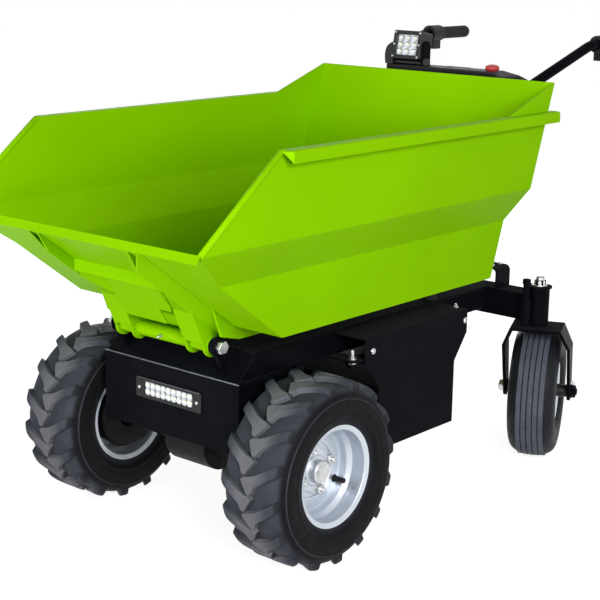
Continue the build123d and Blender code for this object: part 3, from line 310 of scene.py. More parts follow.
def clear_lens():
    s = Shader("lamp_lens")
    film = s.ramp(s.noise(40.0, 4.0), 0.4, 0.75, 0.02, 0.1)
    s.rough(film)
    s.bump((s.noise(200.0, 2.0), 0.03, 0.0004))
    return s.put(Transmission_Weight=1.0, IOR=1.49, Base_Color=(0.95, 0.97, 1.0, 1.0)).mat


def lamp_mirror():
    s = Shader("lamp_mirror")
    tone = s.tone(90.0, 3.0)
    s.colour(s.mix(tone, (0.84, 0.85, 0.87), (0.93, 0.93, 0.94)))
    s.rough(s.ramp(s.noise(140.0, 2.0), 0.3, 0.7, 0.14, 0.26))
    return s.put(Metallic=0.85).mat


def lamp_diode():
    s = Shader("lamp_diode")
    tone = s.tone(700.0, 2.0)
    s.colour(s.mix(tone, (0.85, 0.72, 0.28), (0.95, 0.86, 0.45)))
    s.rough(s.ramp(s.noise(300.0, 2.0), 0.3, 0.7, 0.3, 0.45))
    return s.mat


def dark_glass():
    s = Shader("display_glass")
    tone = s.tone(8.0, 3.0)
    s.colour(s.mix(tone, (0.012, 0.014, 0.017), (0.02, 0.023, 0.027)))
    s.rough(s.ramp(s.noise(60.0, 4.0), 0.3, 0.75, 0.06, 0.16))
    return s.mat


MAT = {
    "tub_paint": green_paint(),
    "frame_paint": black_paint(),
    "zinc": zinc_plate(),
    "wheel_silver": silver_wheel(),
    "axle_iron": cast_iron(),
    "battery_case": moulded("battery_case", (0.03, 0.03, 0.032), (0.05, 0.05, 0.053),
                            0.55, 900.0, 0.2),
    "rubber_black": moulded("rubber_black", (0.007, 0.007, 0.008), (0.014, 0.014, 0.015),
                            0.62, 800.0, 0.3),
    "tyre_black": banded_tyre("tyre_black", (0.034, 0.036, 0.046), (0.038, 0.041, 0.054),
                            (0.0055, 0.0057, 0.0068)),
    # The lugs' rubber is painted paler than the carcass's: partly dust, partly painted light on the lit
    # lug tops.
    "tyre_tread": banded_tyre("tyre_tread", (0.125, 0.127, 0.145), (0.044, 0.047, 0.060),
                            (0.0075, 0.0078, 0.009)),
    "tyre_ridge": tyre_rubber("tyre_ridge", (0.016, 0.017, 0.022), (0.028, 0.030, 0.038),
                              (0.05, 0.052, 0.06), 0.3),
    "caster_black": tyre_rubber("caster_black", (0.007, 0.0075, 0.010), (0.013, 0.014, 0.019),
                                (0.03, 0.031, 0.036), 0.3),
    # The caster ribs' rubber is painted paler and bluer than the carcass's: partly dust, partly painted
    # light on the lit crown.
    "caster_ribs": tyre_rubber("caster_ribs", (0.070, 0.077, 0.105), (0.125, 0.134, 0.172),
                               (0.17, 0.176, 0.20), 0.5),
    "painted_edge_highlight": painted_edge_highlight(),
    "black_plastic": moulded("black_plastic", (0.008, 0.008, 0.009), (0.015, 0.015, 0.016),
                             0.48, 1500.0, 0.2),
    "lamp_body": cast_alloy(),
    "lamp_lens": clear_lens(),
    "stop_red": gloss_red(),
    "lamp_mirror": lamp_mirror(),
    "lamp_diode": lamp_diode(),
    "display_glass": dark_glass(),
}
SLOT_OF = {s["node"]: s["material_slot"] for s in frame["record"]["subparts"]}
BODY_OF = {n: b for b, names in frame["record"]["behaviour"]["bodies"].items() for n in names}


# Building pieces


def piece(name, bm, mat, body, smooth=35.0, bevel=0.0, segments=2, replaces=()):
    """A new piece from a bmesh, riding on a body."""
    bmesh.ops.recalc_face_normals(bm, faces=bm.faces)
    mesh = bpy.data.meshes.new(name)
    bm.to_mesh(mesh)
    bm.free()
    mesh.shade_smooth()
    mesh.set_sharp_from_angle(angle=radians(smooth))
    obj = bpy.data.objects.new(name, mesh)
    scene.collection.objects.link(obj)
    mesh.materials.append(MAT[mat])
    if bevel:
        mod = obj.modifiers.new("edges", "BEVEL")
        mod.width = bevel
        mod.segments = segments
        mod.limit_method = "ANGLE"
        mod.angle_limit = radians(32)
        even = obj.modifiers.new("normals", "WEIGHTED_NORMAL")
        even.keep_sharp = True
    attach(obj, body)
    if replaces:
        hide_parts(*replaces)
    return obj


def dress(node, bevel, segments, cut=None):
    """A copy of a CAD node with its edges rounded, and a corner cut off where a cut is given, which
    stands for the node.
    """
    bm = bmesh.new()
    bm.from_mesh(NODES[node].data)
    bmesh.ops.remove_doubles(bm, verts=bm.verts, dist=2e-5)
    bmesh.ops.dissolve_limit(bm, angle_limit=radians(0.6), verts=bm.verts, edges=bm.edges)
    if cut:
        place, normal = cut
        made = bmesh.ops.bisect_plane(bm, geom=bm.verts[:] + bm.edges[:] + bm.faces[:],
                                      plane_co=place, plane_no=normal, clear_outer=True)
        rim = [e for e in made["geom_cut"] if isinstance(e, bmesh.types.BMEdge)]
        bmesh.ops.edgeloop_fill(bm, edges=rim)
    return piece(node + ".dressed", bm, SLOT_OF[node], BODY_OF[node],
                 bevel=bevel, segments=segments, replaces=[node])


def frame_at(origin, along):
    """A matrix with its Z along a direction, at a point."""
    z = Vector(along).normalized()
    x = z.cross(Vector(UP))
    if x.length < 1e-4:
        x = Vector((1, 0, 0))
    x.normalize()
    y = z.cross(x)
    m = Matrix((x, y, z)).transposed().to_4x4()
    m.translation = origin
    return m


def on_circle(r, k, steps, h=0):
    """Point k of a circle of points round the Z axis."""
    return Vector((r * cos(2 * pi * k / steps), r * sin(2 * pi * k / steps), h))


def turned(bm, profile, matrix, steps=32, closed=False):
    """Turns a profile of (radius, height) in metres round a matrix's Z axis."""
    rings = []
    for r, h in profile:
        if r < 1e-7:
            rings.append([bm.verts.new(matrix @ Vector((0, 0, h)))])
        else:
            rings.append([bm.verts.new(matrix @ on_circle(r, k, steps, h)) for k in range(steps)])
    pairs = list(zip(rings, rings[1:]))
    if closed:
        pairs.append((rings[-1], rings[0]))
    for a, b in pairs:
        for k in range(steps):
            j = (k + 1) % steps
            if len(a) == 1 and len(b) == 1:
                continue
            if len(a) == 1:
                bm.faces.new((a[0], b[k], b[j]))
            elif len(b) == 1:
                bm.faces.new((a[k], b[0], a[j]))
            else:
                bm.faces.new((a[k], b[k], b[j], a[j]))


def prism(bm, points, matrix, height, top=1.0):
    """A prism on a matrix's XY plane; the top outline may be drawn in."""
    low = [bm.verts.new(matrix @ Vector((x, y, 0))) for x, y in points]
    high = [bm.verts.new(matrix @ Vector((x * top, y * top, height))) for x, y in points]
    n = len(points)
    bm.faces.new(low)
    bm.faces.new(high)
    for k in range(n):
        bm.faces.new((low[k], low[(k + 1) % n], high[(k + 1) % n], high[k]))


def hexagon(r):
    return [(r * cos(pi / 3 * k + 0.3), r * sin(pi / 3 * k + 0.3)) for k in range(6)]


def block(bm, centre, size, matrix=None):
    """A box with its own axes."""
    m = (matrix or Matrix.Identity(4)) @ Matrix.Translation(centre)
    x, y = size[0] / 2, size[1] / 2
    low = m @ Matrix.Translation((0, 0, -size[2] / 2))
    prism(bm, [(-x, -y), (x, -y), (x, y), (-x, y)], low, size[2])


def hex_bolt(bm, origin, along, size, stud=0.0):
    """A hexagon head with a chamfer, on a washer, with a stud end where it is a nut."""
    m = frame_at(origin, along)
    lift, wide, h = size * 0.16, size * 1.12, size * 0.62
    turned(bm, [(0, 0), (wide, 0), (wide, lift * 0.8), (size * 1.06, lift), (0, lift)], m, 24)
    corners = hexagon(size * 0.98)
    prism(bm, corners, m @ Matrix.Translation((0, 0, lift)), h * 0.82)
    prism(bm, corners, m @ Matrix.Translation((0, 0, lift + h * 0.82)), h * 0.18, 0.86)
    if stud:
        r, top = size * 0.5, lift + h + stud
        turned(bm, [(0, 0), (r, 0), (r, lift + h + stud * 0.8), (r * 0.8, top), (0, top)], m, 20)


def cap_screw(bm, origin, along, r):
    """A round screw head with a hexagon socket."""
    m = frame_at(origin, along)
    h = r * 0.7
    turned(bm, [(r, 0), (r, h * 0.7), (r * 0.82, h), (r * 0.5, h)], m, 20)
    socket = hexagon(r * 0.5)
    rim = [bm.verts.new(m @ Vector((x, y, h))) for x, y in socket]
    floor = [bm.verts.new(m @ Vector((x, y, h * 0.3))) for x, y in socket]
    for k in range(6):
        bm.faces.new((rim[k], rim[(k + 1) % 6], floor[(k + 1) % 6], floor[k]))
    bm.faces.new(floor)


def weld(bm, points, r=0.0025, pitch=0.0026):
    """A weld bead: a rippled half-sunk roll of weld along a line of points."""
    points = [Vector(p) for p in points]
    steps = []
    for a, b in zip(points, points[1:]):
        n = max(2, int((b - a).length / pitch))
        steps += [a.lerp(b, k / n) for k in range(n)]
    steps.append(points[-1])
    sides = 8
    rings = []
    for i, p in enumerate(steps):
        d = (steps[min(i + 1, len(steps) - 1)] - steps[max(i - 1, 0)]).normalized()
        m = frame_at(p, d)
        k = 1.0 + 0.16 * (1 if i % 2 else -1)
        if i in (0, len(steps) - 1):
            k = 0.4
        rings.append([bm.verts.new(m @ on_circle(r * k, j, sides)) for j in range(sides)])
    for a, b in zip(rings, rings[1:]):
        for j in range(sides):
            bm.faces.new((a[j], a[(j + 1) % sides], b[(j + 1) % sides], b[j]))
    bm.faces.new(rings[0])
    bm.faces.new(rings[-1])


def slab(bm, points, shift):
    """A closed plate: an outline in space, and the same outline moved by a vector."""
    low = [bm.verts.new(p) for p in points]
    high = [bm.verts.new(p + shift) for p in points]
    n = len(points)
    bm.faces.new(low)
    bm.faces.new(high)
    for k in range(n):
        bm.faces.new((low[k], low[(k + 1) % n], high[(k + 1) % n], high[k]))


def circle(centre, axis, r, steps=40):
    """A closed line of points round an axis."""
    m = frame_at(centre, axis)
    return [m @ on_circle(r, k, steps) for k in range(steps + 1)]


def rod(bm, a, b, r, steps=12):
    """A thin round bar with domed ends."""
    length = (b - a).length
    start = [(0, -r * 0.6), (r * 0.7, -r * 0.3), (r, 0)]
    end = [(r, length), (r * 0.7, length + r * 0.3), (0, length + r * 0.6)]
    turned(bm, start + end, frame_at(a, b - a), steps)


def rounded(points, times=2):
    """Cuts the corners of an open line of points, which keeps its ends."""
    for _ in range(times):
        out = [points[0]]
        for a, b in zip(points, points[1:]):
            out.append(tuple(0.75 * u + 0.25 * v for u, v in zip(a, b)))
            out.append(tuple(0.25 * u + 0.75 * v for u, v in zip(a, b)))
        out.append(points[-1])
        points = out
    return points


# Tub, chassis and handlebar: the CAD shapes with rounded edges
for node in ("tub_floor", "tub_rear_wall", "tub_side_left", "tub_side_right", "tub_lip"):
    dress(node, 0.0011, 2)
for node in ("tub_legs", "hinge_tube", "tub_brace", "tub_cross_bar", "tub_ribs", "hinge_pin"):
    dress(node, 0.0012, 2)
for node in ("front_cover", "side_covers", "battery_tray"):
    dress(node, 0.0012, 3)
for node in ("pivot_brackets", "frame_cross_member", "rear_beam", "handle_base", "axle_carriers"):
    dress(node, 0.0018, 3)
dress("frame_rails", 0.005, 4)
for node in ("caster_locks", "rest_buffers", "transaxle", "battery_pack"):
    dress(node, 0.0016, 2)
for node in ("handle_tubes", "control_housings"):
    dress(node, 0.0015, 2)
dress("console", 0.004, 4)
dress("console_panel", 0.004, 4, cut=(P(-900.0, 153.0, 962.0), (0, 0.45, 0.89)))
bm = bmesh.new()
MUSHROOM = [(0.0, 0.0), (0.0138, 0.0), (0.0142, 0.0012), (0.0166, 0.0030), (0.0176, 0.0048),
            (0.0180, 0.0068), (0.0176, 0.0090), (0.0160, 0.0115), (0.0130, 0.0136), (0.0090, 0.0149),
            (0.0045, 0.0156), (0.0, 0.0158)]
turned(bm, MUSHROOM, frame_at(P(-876.0, 136.0, 962.0), UP), 48)
piece("stop_button.mushroom", bm, "stop_red", "chassis", smooth=40.0, replaces=["stop_button"])
dress("work_lamp_housing", 0.0016, 3)
dress("work_lamp_bracket", 0.001, 2)
dress("front_lamp_bezel", 0.0014, 3)
for side in ("left", "right"):
    dress("front_rim_" + side, 0.0013, 3)
    dress("caster_rim_" + side, 0.0012, 2)
    dress("caster_fork_" + side, 0.0016, 3)

# Front tyres: a turned carcass with ridges on its side wall, and two rows of lugs
CARCASS = [(102.1, 58.0), (104.0, 62.5), (108.6, 70.2), (109.6, 72.0), (113.0, 72.8), (121.0, 74.6),
           (127.0, 78.6), (129.0, 80.4), (132.5, 80.4), (134.0, 79.8), (146.0, 82.0), (158.0, 81.3),
           (169.0, 78.6), (178.0, 73.2), (184.6, 66.0), (188.6, 55.0), (190.0, 42.0), (190.4, 20.0)]
CROWN = [(r, w) for r, w in CARCASS if r > 144.0]
RIDGE = [(163.0, 78.5), (164.8, 81.2), (165.6, 81.8), (166.4, 81.6), (168.0, 77.5)]
TYRE_STEPS = 112


def carcass_radius(w):
    """Radius of the carcass under a lug, at a distance from the middle plane."""
    for (r0, w0), (r1, w1) in zip(CROWN, CROWN[1:]):
        if w1 <= w <= w0:
            return r0 + (r1 - r0) * (w0 - w) / (w0 - w1)
    return CROWN[-1][0] if w < CROWN[-1][1] else CROWN[0][0]


# Stations along a lug: distance from the middle plane, half width, radius of the top, slant of the end
LUG = [(-4.0, 15.0, 201.9, 1.0), (4.0, 16.2, 201.9, 1.0), (12.0, 13.6, 201.8, 0.6),
       (22.0, 12.6, 201.7, 0.0), (32.0, 12.4, 201.6, 0.0), (44.0, 12.2, 201.5, 0.0),
       (54.0, 12.0, 201.2, 0.0), (62.0, 11.6, 199.6, 0.0), (70.0, 11.2, 195.0, 0.0),
       (74.0, 11.0, 178.5, 0.0)]
LUG_LEAN = 0.65
LUG_COUNT = 16
LUG_FLARE, LUG_CROWN = 2.6, 0.3
LUG_MID = 25.0
PITCH_R = 200.0
FIRST_LUG = -pi / 2 + asin(32.85 / TYRE_R)


def lug(bm, centre, start, hand):
    """One lug, from its nose at the middle of the tread to the shoulder."""
    rows = []
    for w, wide, top, slant in LUG:
        mid = start + LUG_LEAN * (w - LUG_MID) / PITCH_R
        root = min(carcass_radius(abs(w)) - 3.0, top - 4.0)
        foot, inner = wide + LUG_FLARE, wide * 0.4
        ring = []
        for reach, radius in ((foot, root), (wide, top), (inner, top + LUG_CROWN),
                              (-inner, top + LUG_CROWN), (-wide, top), (-foot, root)):
            angle = mid + reach / PITCH_R
            aside = hand * (w - LUG_LEAN * slant * reach)
            place = Vector((radius * cos(angle), aside, radius * sin(angle)))
            ring.append(bm.verts.new(centre + place / 1000))
        rows.append(ring)
    for a, b in zip(rows, rows[1:]):
        for j in range(6):
            bm.faces.new((a[j], a[(j + 1) % 6], b[(j + 1) % 6], b[j]))
    bm.faces.new(rows[0])
    bm.faces.new(rows[-1])


def both_halves(half):
    """A closed section from the half on one side of the wheel's middle plane."""
    return metres(half + [(r, -w) for r, w in reversed(half)])


def front_tyre(side, sign):
    centre = P(0, sign * HALF_TRACK, TYRE_R)
    axis = frame_at(centre, (0, sign, 0))
    body, node = "front_wheel_" + side, "front_tyre_" + side
    bm = bmesh.new()
    turned(bm, both_halves(rounded(CARCASS, 1)), axis, TYRE_STEPS, closed=True)
    piece(node + ".carcass", bm, "tyre_black", body, smooth=40.0, replaces=[node])
    bm = bmesh.new()
    pitch = 2 * pi / LUG_COUNT
    for row, first in ((1, FIRST_LUG), (-1, FIRST_LUG - pitch / 2)):
        for k in range(LUG_COUNT):
            lug(bm, centre, first + k * pitch, row * sign)
    piece(node + ".lugs", bm, "tyre_tread", body, smooth=40.0, bevel=0.0016,
          replaces=[node])
    bm = bmesh.new()
    for face in BOTH:
        turned(bm, metres([(r, w * face) for r, w in RIDGE]), axis, TYRE_STEPS, closed=True)
    piece(node + ".ridges", bm, "tyre_ridge", body, smooth=50.0, replaces=[node])


for side, sign in SIDES:
    front_tyre(side, sign)

# Hub flange with its nuts, cap, drum and valve on the front rims
OCTAGON = [(1, 0.62), (0.62, 1), (-0.62, 1), (-1, 0.62), (-1, -0.62), (-0.62, -1), (0.62, -1), (1, -0.62)]
FLANGE_HALF = 0.046
BOSS = [(0.0, 0.0), (0.033, 0.0), (0.033, 0.011), (0.031, 0.013), (0.0, 0.013)]
DISC_RING = [(0.0795, 0.0), (0.0795, 0.0022), (0.077, 0.0032), (0.062, 0.0032), (0.0595, 0.0022),
             (0.0595, 0.0)]
HUB_CAP = [(0.0252, 0.0), (0.0256, 0.0), (0.0256, 0.022), (0.0246, 0.0275), (0.0225, 0.0290),
           (0.0185, 0.0292), (0.0165, 0.0282), (0.0, 0.0282)]
DRUM = [(0.031, -0.012), (0.031, -0.066), (0.058, -0.070), (0.074, -0.067), (0.079, -0.061),
        (0.079, -0.052), (0.076, -0.050), (0.076, -0.016), (0.070, -0.012)]
VALVE = [(0, -0.002), (0.0085, -0.002), (0.0085, 0.003), (0.006, 0.007), (0.0052, 0.02), (0.0046, 0.021),
         (0.0046, 0.028), (0.0058, 0.0285), (0.0058, 0.036), (0.0045, 0.038), (0, 0.038)]
NUT_CIRCLE, VALVE_CIRCLE = 0.047, 0.0795
for side, sign in SIDES:
    centre = P(0, sign * HALF_TRACK, TYRE_R)
    out = Vector((0, sign, 0))
    body = "front_wheel_" + side
    disc = centre + out * 0.006
    bm = bmesh.new()
    m = frame_at(disc - out * 0.0005, out) @ Matrix.Rotation(radians(-sign * 27.0), 4, "Z")
    prism(bm, [(x * FLANGE_HALF, y * FLANGE_HALF) for x, y in OCTAGON], m, 0.0085)
    turned(bm, BOSS, m, 40)
    turned(bm, DISC_RING, m, 64, closed=True)
    piece("front_hub_flange_" + side, bm, "wheel_silver", body, bevel=0.0008, segments=2)
    bm = bmesh.new()
    for k in range(4):
        a = radians(72 + 90 * k)
        place = disc + out * 0.008 + Vector((cos(a), 0, sin(a))) * NUT_CIRCLE
        hex_bolt(bm, place, out, 0.0115, stud=0.006)
    piece("front_wheel_nuts_" + side, bm, "zinc", body, bevel=0.0005, segments=1)
    bm = bmesh.new()
    turned(bm, HUB_CAP, frame_at(disc, out), 40)
    piece("front_hub_cap_" + side, bm, "zinc", body, smooth=30.0)
    # A drum in near-black iron inside the rim: partly a hub drum, partly painted shade for the dark
    # inside of the rim's barrel.
    bm = bmesh.new()
    turned(bm, DRUM, frame_at(centre, out), 56, closed=True)
    piece("front_drum_" + side, bm, "axle_iron", body, bevel=0.0008, segments=2)
    bm = bmesh.new()
    a = radians(-152)
    away = Vector((cos(a), 0, sin(a)))
    lean = (out - away * 0.25).normalized()
    turned(bm, VALVE, frame_at(disc + away * VALVE_CIRCLE, lean), 20)
    piece("front_valve_" + side, bm, "rubber_black", body)

# Casters: tyres with five ribs, hub sleeves, axle bolt, and the bright nut on the kingpin
CASTER_CARCASS = [(76.1, 35.6), (78.0, 39.2), (87.5, 39.8), (91.0, 47.5), (98.0, 54.0), (108.0, 57.8),
                  (120.0, 59.0), (134.0, 58.4), (146.0, 55.6), (154.5, 50.0), (160.5, 42.0),
                  (164.4, 33.0), (164.6, 8.0)]
RIB_PITCH = 13.8
RIB_ROOT, RIB_SHOULDER, RIB_TOP = 162.0, 168.6, 170.0
RIB_DROP = 0.0022
SLEEVE = [(0.0151, 0.004), (0.0160, 0.004), (0.0160, 0.073), (0.0151, 0.075)]
FORK_HALF = 0.0842
KING_WASHER = [(0, 0), (0.0186, 0), (0.0186, 0.0026), (0.0178, 0.0034), (0, 0.0034)]
KING_STUD = [(0, 0.010), (0.0103, 0.010), (0.0103, 0.0188), (0.0086, 0.0204), (0, 0.0204)]
KING_NUT_R, KING_NUT_H = 0.0150, 0.0102
for side, sign in SIDES:
    trail = Vector((-cos(CASTER_SWING), -sign * sin(CASTER_SWING), 0))
    hub = P(CASTER_X, sign * CASTER_Y, CASTER_R) + trail * CASTER_TRAIL
    out = Vector((trail.y * -sign, trail.x * sign, 0)) * -1
    wheel, fork, node = "caster_wheel_" + side, "caster_" + side, "caster_tyre_" + side
    axis = frame_at(hub, out)
    bm = bmesh.new()
    turned(bm, both_halves(rounded(CASTER_CARCASS, 1)), axis, TYRE_STEPS, closed=True)
    piece(node + ".carcass", bm, "caster_black", wheel, smooth=28.0, replaces=[node])
    bm = bmesh.new()
    for k in range(-2, 3):
        mid = k * RIB_PITCH
        drop = mid * mid * RIB_DROP
        rib = [(RIB_ROOT, mid - 6.4), (RIB_SHOULDER - drop, mid - 5.9), (RIB_TOP - drop, mid - 4.8),
               (RIB_TOP - drop, mid + 4.8), (RIB_SHOULDER - drop, mid + 5.9), (RIB_ROOT, mid + 6.4)]
        turned(bm, metres(rib), axis, TYRE_STEPS, closed=True)
    piece(node + ".ribs", bm, "caster_ribs", wheel, smooth=28.0, replaces=[node])
    bm = bmesh.new()
    for end in BOTH:
        turned(bm, [(r, w * end) for r, w in SLEEVE], axis, 32, closed=True)
    piece("caster_sleeves_" + side, bm, "black_plastic", wheel)
    bm = bmesh.new()
    rod(bm, hub - out * 0.09, hub + out * 0.09, 0.0098, 24)
    hex_bolt(bm, hub - out * FORK_HALF, -out, 0.0160, stud=0.002)
    lock = Vector((0, 0, 0.0235)) - trail * 0.006
    hex_bolt(bm, hub + out * FORK_HALF + lock, out, 0.0066, stud=0.006)
    axle = "caster_axle_" + side
    piece(axle + ".bolt", bm, "zinc", fork, bevel=0.0005, segments=1, replaces=[axle])
    bm = bmesh.new()
    hex_bolt(bm, hub + out * FORK_HALF, out, 0.0165, stud=0.003)
    piece(axle + ".nut", bm, "frame_paint", fork, bevel=0.0006, segments=2)
    bm = bmesh.new()
    king = P(CASTER_X, sign * CASTER_Y, 453.2)
    turned(bm, KING_WASHER, frame_at(king, UP), 32)
    m = frame_at(king + Vector((0, 0, 0.0031)), UP)
    prism(bm, hexagon(KING_NUT_R), m, KING_NUT_H)
    prism(bm, hexagon(KING_NUT_R), m @ Matrix.Translation((0, 0, KING_NUT_H)), 0.0022, 0.86)
    turned(bm, KING_STUD, m, 28)
    piece("kingpin_nut_" + side, bm, "zinc", fork, bevel=0.0005, segments=1)

# Grips with finger rings
GRIP_R, GROOVE_R = 0.0165, 0.0153
GRIP_START = [(0, 0), (0.0125, 0), (0.0155, 0.002), (GRIP_R, 0.006)]
GRIP_COLLAR = [(GRIP_R, 0.118), (0.0192, 0.121), (0.0200, 0.1235), (0.0200, 0.1265), (0.0192, 0.128),
               (0.0126, 0.128)]
for side, sign in SIDES:
    bm = bmesh.new()
    m = frame_at(P(-1335.0, sign * 262.0, 1021.0), (1, 0, 0))
    rings = []
    x = 0.012
    while x < 0.112:
        rings += [(GRIP_R, x), (GROOVE_R, x + 0.001), (GROOVE_R, x + 0.002), (GRIP_R, x + 0.003)]
        x += 0.0068
    turned(bm, GRIP_START + rings + GRIP_COLLAR, m, 40)
    piece("grip_" + side + ".ribbed", bm, "rubber_black", "chassis", replaces=["grips"])

# Tub: upper webs of the legs, plate behind the brace's window, weld beads, hem ends, rolled front
# edges and a grease nipple
SLOPE = 217.0 / 293.0
SLOPE_FOOT = (87.0, 500.0)
LEG_DROP = 27.4
BRACE_END_Y, LEG_INSIDE_Y = 78.0, 132.5
FLOOR_SEAM = (171.9, 499.2)
CROSS_BAR_X = 249.0
HEM_FRONT_X, HEM_OUT_Y = 146.0, 376.6
EDGE_Y, EDGE_R = 354.2, 0.0066
NIPPLE = [(0, 0), (0.0030, 0.004), (0.0030, 0.007), (0.0022, 0.0085), (0.0028, 0.010), (0.0016, 0.0122),
          (0, 0.0126)]


def slope_z(x):
    """Height of the underside of the sloping front plate."""
    return SLOPE_FOOT[1] + (x - SLOPE_FOOT[0]) * SLOPE


bm = bmesh.new()
beads = bmesh.new()
inward = Vector((-SLOPE, 0, 1)).normalized() * 0.005
for sign in BOTH:
    corners = [(171.0, 78.2), (171.0, LEG_INSIDE_Y), (243.0, LEG_INSIDE_Y)]
    slab(bm, [P(x, sign * y, slope_z(x) - LEG_DROP + 0.3) for x, y in corners], inward)
    gusset = [P(171.5, sign * BRACE_END_Y, 536.0), P(209.0, sign * BRACE_END_Y, 589.0),
              P(246.0, sign * LEG_INSIDE_Y, 595.0), P(243.0, sign * LEG_INSIDE_Y, 588.4)]
    slab(bm, gusset, Vector((-0.003, 0, 0.003)))
    weld(beads, [P(177.5, sign * 78.4, 537.4), P(209.0, sign * 78.4, 585.8)], 0.0024)
    for y in (134.3, 76.7):
        weld(beads, circle(P(HINGE_X, sign * y, HINGE_Z), (0, 1, 0), 0.0172), 0.0019)
    weld(beads, [P(x, sign * 165.6, slope_z(x) - 0.6) for x in (158.0, 338.0)], 0.0017)
    seam_y, seam_z = FLOOR_SEAM
    for x in range(-620, 60, 120):
        weld(beads, [P(x, sign * seam_y, seam_z), P(x + 55, sign * seam_y, seam_z)], 0.0018)
bar_z = slope_z(CROSS_BAR_X) - 1.0
weld(beads, [P(CROSS_BAR_X, -127.0, bar_z), P(CROSS_BAR_X, 127.0, bar_z)], 0.0015)
block(bm, P(92.8, 0, 477.5), (0.004, 0.1556, 0.051))
piece("leg_webs", bm, "tub_paint", "tub", bevel=0.0008)
piece("tub_welds", beads, "tub_paint", "tub", smooth=60.0)
bm = bmesh.new()
for sign in BOTH:
    end = [P(HEM_FRONT_X, sign * HEM_OUT_Y, 886.0), P(HEM_FRONT_X, sign * HEM_OUT_Y, 863.2),
           P(162.0, sign * 359.0, 886.8)]
    slab(bm, end, Vector((-0.0022, -sign * 0.0020, 0)))
piece("hem_ends", bm, "tub_paint", "tub", bevel=0.0006)
bm = bmesh.new()
for sign in BOTH:
    rod(bm, P(160.0, sign * EDGE_Y, 882.9), P(373.5, sign * EDGE_Y, 716.2), EDGE_R)
piece("side_edges", bm, "tub_paint", "tub", smooth=60.0)
bm = bmesh.new()
lean, foot = 0.1, 15.6
m = frame_at(P(HINGE_X + foot * cos(lean), -1.0, HINGE_Z - foot * sin(lean)), (1, 0, -lean))
prism(bm, hexagon(0.0046), m, 0.004)
turned(bm, NIPPLE, m, 16)
piece("hinge_grease_nipple", bm, "zinc", "tub", bevel=0.0003, segments=1)

# Chassis: deck plate behind the front cover, battery bracket, bolts, welds and painted highlights along
# folds
BRACKET = [(-206.0, 204.0), (-206.0, 282.0), (-180.0, 282.0), (-172.0, 274.0), (-172.0, 204.0)]
BRACKET_Z, BRACKET_T = 387.0, 4.0
BRACKET_BOLT = (-189.0, 262.0)
BOX_SIDE_Y, BOX_TOP_Z = 285.0, 435.0
LAMP_Z = 323.0
bm = bmesh.new()
block(bm, P(-133.5, 0, 435.4), (0.1450, 0.2990, 0.003))
for sign in BOTH:
    bracket = [P(x, sign * y, BRACKET_Z) for x, y in BRACKET]
    slab(bm, bracket, Vector((0, 0, BRACKET_T / 1000)))
    gusset = [P(x, sign * 240.0, z) for x, z in ((-206.0, 388.0), (-178.0, 388.0), (-206.0, 352.0))]
    slab(bm, gusset, Vector((0, 0.004, 0)))
piece("deck_plate", bm, "frame_paint", "chassis", bevel=0.0008)
bm = bmesh.new()
for sign in BOTH:
    bolt_x, bolt_y = BRACKET_BOLT
    hex_bolt(bm, P(bolt_x, sign * bolt_y, BRACKET_Z + BRACKET_T), UP, 0.0088, stud=0.014)
    hex_bolt(bm, P(bolt_x, sign * bolt_y, BRACKET_Z), (0, 0, -1), 0.0088)
    hex_bolt(bm, P(-583.0, sign * 257.0, BOX_TOP_Z), UP, 0.0056, stud=0.005)
    for x, z in ((-229.0, 406.0), (-579.0, 410.0)):
        cap_screw(bm, P(x, sign * BOX_SIDE_Y, z), (0, sign, 0), 0.0072)
    cap_screw(bm, P(111.0, sign * 86.5, LAMP_Z), (1, 0, 0), 0.0040)
    for x in (-868.0, -834.0):
        cap_screw(bm, P(x, sign * 190.0, 485.0), UP, 0.0062)
piece("chassis_bolts", bm, "zinc", "chassis", bevel=0.0004, segments=1)
bm = bmesh.new()
for sign in BOTH:
    weld(bm, [P(92.0, sign * 151.0, 399.0), P(51.0, sign * 151.0, 440.0)], 0.0026)
    weld(bm, [P(-820.2, sign * 197.4, 385.0), P(-820.2, sign * 197.4, 432.0)], 0.0024)
    weld(bm, [P(-821.0, sign * 152.0, 433.4), P(-821.0, sign * 195.0, 433.4)], 0.0022)
    weld(bm, circle(P(HINGE_X, sign * 150.3, HINGE_Z), (0, 1, 0), 0.0196), 0.0016)
piece("chassis_welds", bm, "frame_paint", "chassis", smooth=60.0)
# Thin grey rods along the front cover's top fold and the lamp bezel's top edge: painted highlights.
bm = bmesh.new()
rod(bm, P(105.6, -201.0, 384.0), P(105.6, 201.0, 384.0), 0.0016)
rod(bm, P(110.6, -93.0, 344.6), P(110.6, 93.0, 344.6), 0.0008)
piece("painted_fold_highlights", bm, "painted_edge_highlight", "chassis", smooth=60.0)

